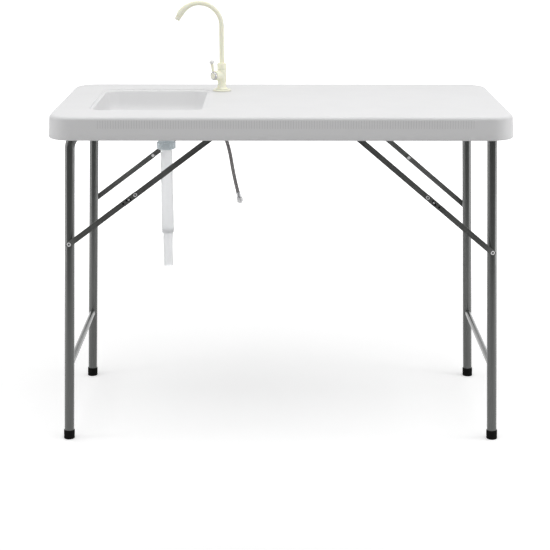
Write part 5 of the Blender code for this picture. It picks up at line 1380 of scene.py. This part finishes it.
class SINKTABLE_OT_stays(bpy.types.Operator):
    """Add the folding stays, the rails and their screws, the rivets and the pivot bushes"""

    bl_idname = "sink_table.stays"
    bl_label = "Stays and rails"

    def execute(self, context):
        for row_name, row in ROWS.items():
            name = f"rail_{row_name}"
            add_piece(f"{name}_angle", rail_shape(row), "pressed_dark_steel", "table", [name])
            screws = joined([outward(across(screw_shape(), x, SCREW_HEIGHT, row)) for x in screw_places()])
            add_piece(f"{name}_screws", screws, "zinc_steel", "table")
            for side_name, side in SIDES.items():
                prefix = f"{side_name}_{row_name}"
                stay = STAYS[side_name]
                anchor, lug = ((place[0], 0.0, place[1]) for place in (stay["anchor"], stay["lug"]))
                run = np.subtract(lug, anchor)
                self.upper(prefix, stay["upper"], row, tilted(math.atan2(-run[2], run[0])), anchor)
                self.lower(prefix, stay["lower"], row, tilted(math.atan2(run[2], -run[0])), lug)
                self.pins(prefix, row, anchor, lug)
                self.bush(prefix, side, row)
        return {"FINISHED"}

    def bush(self, prefix, side, row):
        """A plastic bush: its stem in the apron, a flange on the rail and a boss inside the pivot bar."""
        face = RAIL_IN - GAP - 0.0012
        profile = [(0.0, RAIL_OUT), (0.0040, RAIL_OUT), (0.0040, RAIL_IN - GAP), (BAR_RADIUS, RAIL_IN - GAP)]
        profile += [(BAR_RADIUS, face), (0.0080, face), (0.0080, face - 0.0118), (0.0074, face - 0.0120)]
        profile += [(0.0, face - 0.0120)]
        shape = turned(soften(profile, 0.0003, steps=3), 48)
        shape = across(shape, side["sign"] * side["pivot"], PIVOT_Z, row)
        add_piece(f"{prefix}_pivot_bush", shape, "dark_bush_plastic", "table", [f"{prefix}_bush"])

    def upper(self, prefix, length, row, axes, anchor):
        """An upper stay with its lock's opening and hole, near-black plates of painted shade under them, its
        tongue, and the head of its knuckle rivet with painted shade in its hollow.
        """
        body = f"{prefix}_upper"
        hole, lock = length + STAY_OVERLAP - HOLE_FROM_END, (length + LOCK_PLACE, 0.0, 0.0)
        leaning = tilted(LOCK_TURN)
        sheet = stay_shape(-STAY_END, length + STAY_OVERLAP, UPPER_IN, row, False)
        near, far = UPPER_IN - 0.01, 0.30
        drill = turned([(0.0, near), (0.0030, near), (0.0030, far), (0.0, far)], 24)
        opening = placed(oblong(0.0080, 0.0027, UPPER_IN - 0.004, far, row), leaning, lock)
        cut = moved(pierced(sheet, [across(drill, hole, 0.0, row), opening]), axes, anchor)
        name = f"{prefix}_upper_channel"
        add_piece(name, cut, "pressed_dark_steel", body, [f"{prefix}_upper_stay"])
        seat, face = UPPER_IN + STAY_SHEET, UPPER_IN + 0.0001
        head = rolled_head(seat, 1.0) + [(RIVET_STEM, face), (0.0, face)]
        shape = placed(across(rivet_shape(head, seat - 0.0004), length, 0.0, row), axes, anchor)
        # The rivet's hollow takes near-black painted shade
        add_piece(f"{prefix}_knuckle_rivet", shape, "zinc_steel", body, hollow="rivet_hollow")
        # Near-black plates under the hole and the lock's opening: painted shade where the inside would lie in
        # shadow
        under = UPPER_IN + 0.0004
        shade_plates = [placed(oblong(0.0029, 0.0029, face, under, row), UPRIGHT, (hole, 0.0, 0.0))]
        shade_plates += [placed(oblong(0.0079, 0.0026, face, under, row), leaning, lock)]
        shape = placed(joined([outward(floor) for floor in shade_plates]), axes, anchor)
        add_piece(f"{prefix}_lock_floors", shape, "rivet_hollow", body)
        place = (lock[0] - 0.001, 0.0, 0.0)
        tongue = placed(oblong(0.0026, 0.0017, face, UPPER_IN + 0.0024, row), leaning, place)
        add_piece(f"{prefix}_lock_tongue", placed(tongue, axes, anchor), "zinc_steel", body)

    def lower(self, prefix, length, row, axes, lug):
        """A lower stay with the tail of the knuckle rivet."""
        body = f"{prefix}_lower"
        shape = placed(stay_shape(-STAY_END, length + STAY_END, LOWER_IN, row, True), axes, lug)
        sheet = welded(make_mesh("lower_channel", outward(shape)))
        name = f"{prefix}_lower_channel"
        add_piece(name, sheet, "pressed_dark_steel", body, [f"{prefix}_lower_stay"])
        tail = LOWER_IN - 0.0012
        rows = [(0.0, LOWER_OUT), (RIVET_STEM, LOWER_OUT), (RIVET_STEM, LOWER_IN + 0.0002), (0.0044, LOWER_IN)]
        rows += [(0.0044, tail + 0.0004), (0.0038, tail), (0.0022, tail), (0.0018, tail + 0.0008)]
        rows += [(0.0, tail + 0.0008)]
        shape = placed(across(turned(soften(rows, 0.0003, steps=3), 40), length, 0.0, row), axes, lug)
        add_piece(f"{prefix}_knuckle_tail", shape, "zinc_steel", body)

    def pins(self, prefix, row, anchor, lug):
        """The rivet through the upper stay and the rail, and the one through the lower stay and the leg."""
        seat, wall = UPPER_IN - GAP, RAIL_IN - GAP
        rows = rolled_head(seat, -1.0) + [(RIVET_STEM, seat + 0.0018), (0.0044, seat + 0.0019), (0.0044, wall)]
        rows += [(RIVET_STEM, wall), (RIVET_STEM, RAIL_OUT), (0.0, RAIL_OUT)]
        self.pin(f"{prefix}_anchor", rivet_shape(rows, seat + 0.0008), anchor, row, "table")
        seat, tail = LOWER_IN + STAY_SHEET + GAP, LEG_Y + 0.0103
        rows = rolled_head(seat, 1.0) + [(RIVET_STEM, SPACER_OUT), (0.0065, SPACER_OUT), (0.0065, SPACER_IN)]
        rows += [(RIVET_STEM, SPACER_IN), (RIVET_STEM, tail), (0.0, tail)]
        self.pin(f"{prefix}_leg", rivet_shape(rows, seat - 0.0004), lug, row, prefix.split("_")[0] + "_legs")

    def pin(self, name, shape, place, row, body):
        """A tubular rivet at a pivot, with near-black painted shade in its hollow."""
        shape = across(shape, place[0], place[2], row)
        nodes = [f"{name}_rivet"]
        add_piece(f"{name}_pin", shape, "zinc_steel", body, nodes, hollow="rivet_hollow")


class SINKTABLE_OT_tap(bpy.types.Operator):
    """Add the tap: base, body with its barrel, collar, spout, aerator, lever and shank"""

    bl_idname = "sink_table.tap"
    bl_label = "Tap"

    def execute(self, context):
        gasket = [(0.0, 0.0003), (0.0262, 0.0003), (0.0262, 0.0015), (0.0, 0.0015)]
        add_turned("tap_seal", gasket, 0.0005, "seal_rubber", "gasket_rubber", ["tap_gasket"])
        base = [(0.0, 0.0018), (0.0238, 0.0018), (0.0240, 0.0024), (0.0240, 0.0040), (0.0225, 0.0057)]
        base += [(0.0, 0.0058)]
        add_turned("tap_flange", base, 0.0008, "ivory_plastic", "tap_plastic", ["tap_base"])
        self.body()
        collar = [(0.0, 0.0600), (0.0124, 0.0600), (0.0126, 0.0605), (0.0126, 0.0742), (0.0118, 0.0754)]
        collar += [(0.0070, 0.0755), (0.0068, 0.0748), (0.0, 0.0748)]
        add_turned("spout_nut", collar, 0.0004, "ivory_plastic", "tap_plastic", ["spout_collar"])
        self.spout()
        self.lever()
        self.thread()
        washer = [(0.0, -0.0218), (0.0177, -0.0218), (0.0180, -0.0214), (0.0180, -0.0203), (0.0, -0.0203)]
        add_turned("shank_seal", washer, 0.0003, "seal_rubber", "gasket_rubber", ["shank_washer"])
        nut = [(0.0103, -0.0305), (0.0143, -0.0305), (0.0165, -0.0295), (0.0165, -0.0235), (0.0143, -0.0225)]
        nut += [(0.0103, -0.0225)]
        add_turned(
            "hexagon_locknut", nut, 0.0004, "zinc_steel", "bright_metal", ["shank_locknut"],
            sides=96, steps=4, closed=True, flats=0.0143,
        )
        return {"FINISHED"}

    def thread(self):
        """The shank: a rounded groove in its radius climbs 1.5 mm in each turn and fades at both ends."""
        low, high, climb = -0.0568, 0.0055, 0.0015
        height = np.linspace(low, high, 240)
        angle = np.arange(48) * math.tau / 48
        turns = height[:, None] / climb - angle[None, :] / math.tau
        fade = np.clip(np.minimum(height - low, high - height) / climb, 0.0, 1.0)[:, None]
        radius = 0.00995 - 0.00035 * (1.0 - np.cos(math.tau * turns)) * fade
        radius[[0, -1]] = 0.0092
        z = height[:, None] + 0.0 * radius
        grid = np.stack([radius * np.cos(angle), radius * np.sin(angle), z], axis=-1)
        shape = surface(grid, low_pole=(0.0, 0.0, low - 0.0002), high_pole=(0.0, 0.0, high))
        shape = placed(shape, UPRIGHT, TAP_PLACE)
        add_piece("threaded_shank", shape, "zinc_steel", "table", ["tap_shank"])

    def body(self):
        """The column with its bell foot, and the valve barrel that leans out to one side."""
        bell = [(0.0, 0.0061), (0.0172, 0.0061), (0.0171, 0.0070), (0.0155, 0.0087), (0.0131, 0.0101)]
        bell += [(0.0120, 0.0121), (0.0115, 0.0151), (0.0115, 0.0255), (0.0119, 0.0268), (0.0128, 0.0282)]
        bell += [(0.0128, 0.0590), (0.0122, 0.0597), (0.0, 0.0597)]
        column = placed(turned(soften(bell, 0.0012, steps=3), 72), UPRIGHT, TAP_PLACE)
        rim = [(0.0, 0.002), (0.0125, 0.002), (0.0125, 0.0262), (0.0117, 0.0270), (0.0, 0.0270)]
        barrel = placed(turned(soften(rim, 0.0006, steps=3), 64), facing(BARREL_REACH), BARREL_PLACE)
        add_piece("tap_column", joined([column, barrel]), "ivory_plastic", "table", ["tap_body"])

    def spout(self):
        """The swan neck and the aerator on its end."""
        path = spout_path()
        neck = swept(path, spout_radii(len(path)), sides=48)
        add_piece("swan_neck", neck, "ivory_plastic", "spout", ["spout"])
        profile = [(0.0, -0.002), (0.0076, -0.002), (0.0076, 0.0008), (0.0078, 0.0012), (0.0078, 0.0128)]
        profile += [(0.0070, 0.0140), (0.0050, 0.0140), (0.0048, 0.0120), (0.0, 0.0120)]
        axes = facing(SPOUT_END, (0.0, 1.0, 0.0))
        add_turned(
            "spout_aerator", profile, 0.0003, "ivory_plastic", "tap_plastic", ["aerator"],
            body="spout", place=path[-1], axes=axes, sides=64,
        )

    def lever(self):
        """The hub on the barrel's end with its cap, the flared arm and its knob."""
        on_barrel = {"body": "lever", "place": BARREL_PLACE, "axes": facing(BARREL_REACH), "sides": 64}
        hub = [(0.0, 0.0273), (0.0110, 0.0273), (0.0113, 0.0279), (0.0113, 0.0323), (0.0103, 0.0333)]
        hub += [(0.0084, 0.0333), (0.0082, 0.0325), (0.0, 0.0325)]
        add_turned("valve_hub", hub, 0.0003, "polished_plating", "bright_metal", ["lever_hub"], **on_barrel)
        cap = [(0.0, 0.0322), (0.0080, 0.0322), (0.0080, 0.0334), (0.0070, 0.0341), (0.0, 0.0343)]
        add_turned("valve_cap", cap, 0.0005, "ivory_plastic", "tap_plastic", **on_barrel)
        lean = BARREL_REACH * math.sin(LEVER_LEAN) + np.array([0.0, 0.0, math.cos(LEVER_LEAN)])
        place, axes = BARREL_PLACE + BARREL_REACH * 0.0303, facing(lean, BARREL_REACH)
        arm = [(0.0, 0.0124), (0.0038, 0.0124), (0.0037, 0.0200), (0.0041, 0.0280), (0.0048, 0.0330)]
        arm += [(0.0, 0.0330)]
        add_turned(
            "valve_arm", arm, 0.0005, "ivory_plastic", "tap_plastic", ["lever_arm"],
            body="lever", place=place, axes=axes, sides=40,
        )
        angle = np.linspace(0.0, math.pi, 20)
        ball = np.column_stack([0.0068 * np.sin(angle), 0.0333 + 0.00578 * (1 - np.cos(angle))])
        ball[0, 0] = ball[-1, 0] = 0.0
        shape = placed(turned(ball, 48), axes, place)
        add_piece("valve_knob", shape, "grey_knob_plastic", "lever", ["lever_knob"])


class SINKTABLE_OT_drain(bpy.types.Operator):
    """Add the drain: flange and tail, strainer, union nut and the two pipes"""

    bl_idname = "sink_table.drain"
    bl_label = "Drain"

    def execute(self, context):
        body = [(0.0145, 0.7381), (0.0185, 0.7381), (0.0185, 0.7793), (0.0300, 0.7793), (0.0290, 0.7813)]
        body += [(0.0166, 0.7813), (0.0166, 0.7783), (0.0145, 0.7783)]
        self.ring("drain_flange", body, 0.0005, "milky_plastic", "pipe_plastic", "drain_body")
        self.strainer()
        seal = [(0.0150, 0.7360), (0.0185, 0.7360), (0.0185, 0.7377), (0.0150, 0.7377)]
        self.ring("drain_seal", seal, 0.0004, "black_foot_rubber", "foot_rubber", "drain_gasket")
        self.nut()
        upper = [(0.0151, 0.7333), (0.0164, 0.5077), (0.0131, 0.5077), (0.0131, 0.5097), (0.0149, 0.5097)]
        upper += [(0.0136, 0.7355), (0.0182, 0.7355), (0.0182, 0.7333)]
        self.ring("upper_pipe", upper, 0.0003, "milky_plastic", "pipe_plastic", "drain_pipe_upper")
        lower = [(0.0103, 0.4172), (0.0118, 0.4172), (0.0128, 0.5067), (0.0128, 0.5100), (0.0131, 0.5100)]
        lower += [(0.0131, 0.5140), (0.0113, 0.5140), (0.0113, 0.5067)]
        self.ring("lower_pipe", lower, 0.0003, "milky_plastic", "pipe_plastic", "drain_pipe_lower", "drain_tube")
        return {"FINISHED"}

    def ring(self, name, profile, radius, look, slot, node, body="table"):
        """A turned ring or pipe at the drain's place."""
        add_turned(name, profile, radius, look, slot, [node], body, DRAIN_PLACE, closed=True)

    def strainer(self):
        """A disc raised in its middle by a quarter wave of its radius, with one hole there and seven round it."""
        edge, ring, hole = 0.0163, 0.0098, 0.0030
        radius = np.linspace(0.0, edge, 12)[1:]
        crown = 0.7797 + 0.0004 * np.cos(radius / edge * math.pi / 2)
        upper = np.column_stack([radius, crown])
        lower = np.column_stack([radius[::-1], crown[::-1] - 0.0011])
        sheet = turned(np.vstack([(0.0, 0.7801), upper, lower, (0.0, 0.7790)]), 96)
        places = [(0.0, 0.0)]
        places += [(ring * math.cos(math.tau * i / 7), ring * math.sin(math.tau * i / 7)) for i in range(7)]
        drill = turned([(0.0, 0.775), (hole, 0.775), (hole, 0.785), (0.0, 0.785)], 32)
        cut = pierced(sheet, [placed(drill, UPRIGHT, (x, y, 0.0)) for x, y in places])
        mesh = moved(cut, UPRIGHT, DRAIN_PLACE)
        add_piece("pierced_strainer", mesh, "zinc_steel", "table", ["drain_strainer"])

    def nut(self):
        """The union nut: a plain neck over a wider band with grip ribs."""
        profile = [(0.0188, 0.7302), (0.0213, 0.7302), (0.0243, 0.7332), (0.0243, 0.7472), (0.0235, 0.7487)]
        profile += [(0.0213, 0.7492), (0.0213, 0.7562), (0.0208, 0.7567), (0.0188, 0.7567)]
        rows = soften(profile, 0.0004, closed=True, steps=3)
        band = np.clip((rows[:, 0] - 0.0225) / 0.0015, 0.0, 1.0)
        shape = placed(turned(rows, 160, closed=True, ribs=32, rib_depth=-0.0003 * band), UPRIGHT, DRAIN_PLACE)
        add_piece("union_nut", shape, "blue_plastic", "table", ["drain_nut"])


class SINKTABLE_PT_panel(bpy.types.Panel):
    """The table's pieces, in the order in which they are built"""

    bl_idname = "SINKTABLE_PT_panel"
    bl_label = "Folding Sink Table"
    bl_space_type = "VIEW_3D"
    bl_region_type = "UI"
    bl_category = "Sink Table"

    def draw(self, context):
        for operator in OPERATORS:
            self.layout.operator(operator.bl_idname)
        for name in LOOKS:
            group = getattr(context.scene, name)
            box = self.layout.box()
            for key in group.__annotations__:
                box.prop(group, key)


LOOKS = {
    "sink_table_top": TopLooks,
    "sink_table_frames": FrameLooks,
    "sink_table_tap": TapLooks,
    "sink_table_drain": DrainLooks,
    "sink_table_hose": HoseLooks,
    "sink_table_stage": StageLooks,
}
OPERATORS = (
    SINKTABLE_OT_stage,
    SINKTABLE_OT_hose,
    SINKTABLE_OT_top,
    SINKTABLE_OT_legs,
    SINKTABLE_OT_stays,
    SINKTABLE_OT_tap,
    SINKTABLE_OT_drain,
)
CLASSES = (*LOOKS.values(), *OPERATORS, SINKTABLE_PT_panel)


def register():
    """Make the classes and the scene's settings known to Blender."""
    for item in CLASSES:
        bpy.utils.register_class(item)
    for name, group in LOOKS.items():
        setattr(bpy.types.Scene, name, bpy.props.PointerProperty(type=group))


def unregister():
    """Take the classes and the settings away again."""
    for name in LOOKS:
        delattr(bpy.types.Scene, name)
    for item in reversed(CLASSES):
        bpy.utils.unregister_class(item)


def main():
    """Build every piece."""
    register()
    bpy.ops.sink_table.stage()
    bpy.ops.sink_table.hose()
    bpy.ops.sink_table.top()
    bpy.ops.sink_table.legs()
    bpy.ops.sink_table.stays()
    bpy.ops.sink_table.tap()
    bpy.ops.sink_table.drain()


if __name__ == "__main__":
    main()
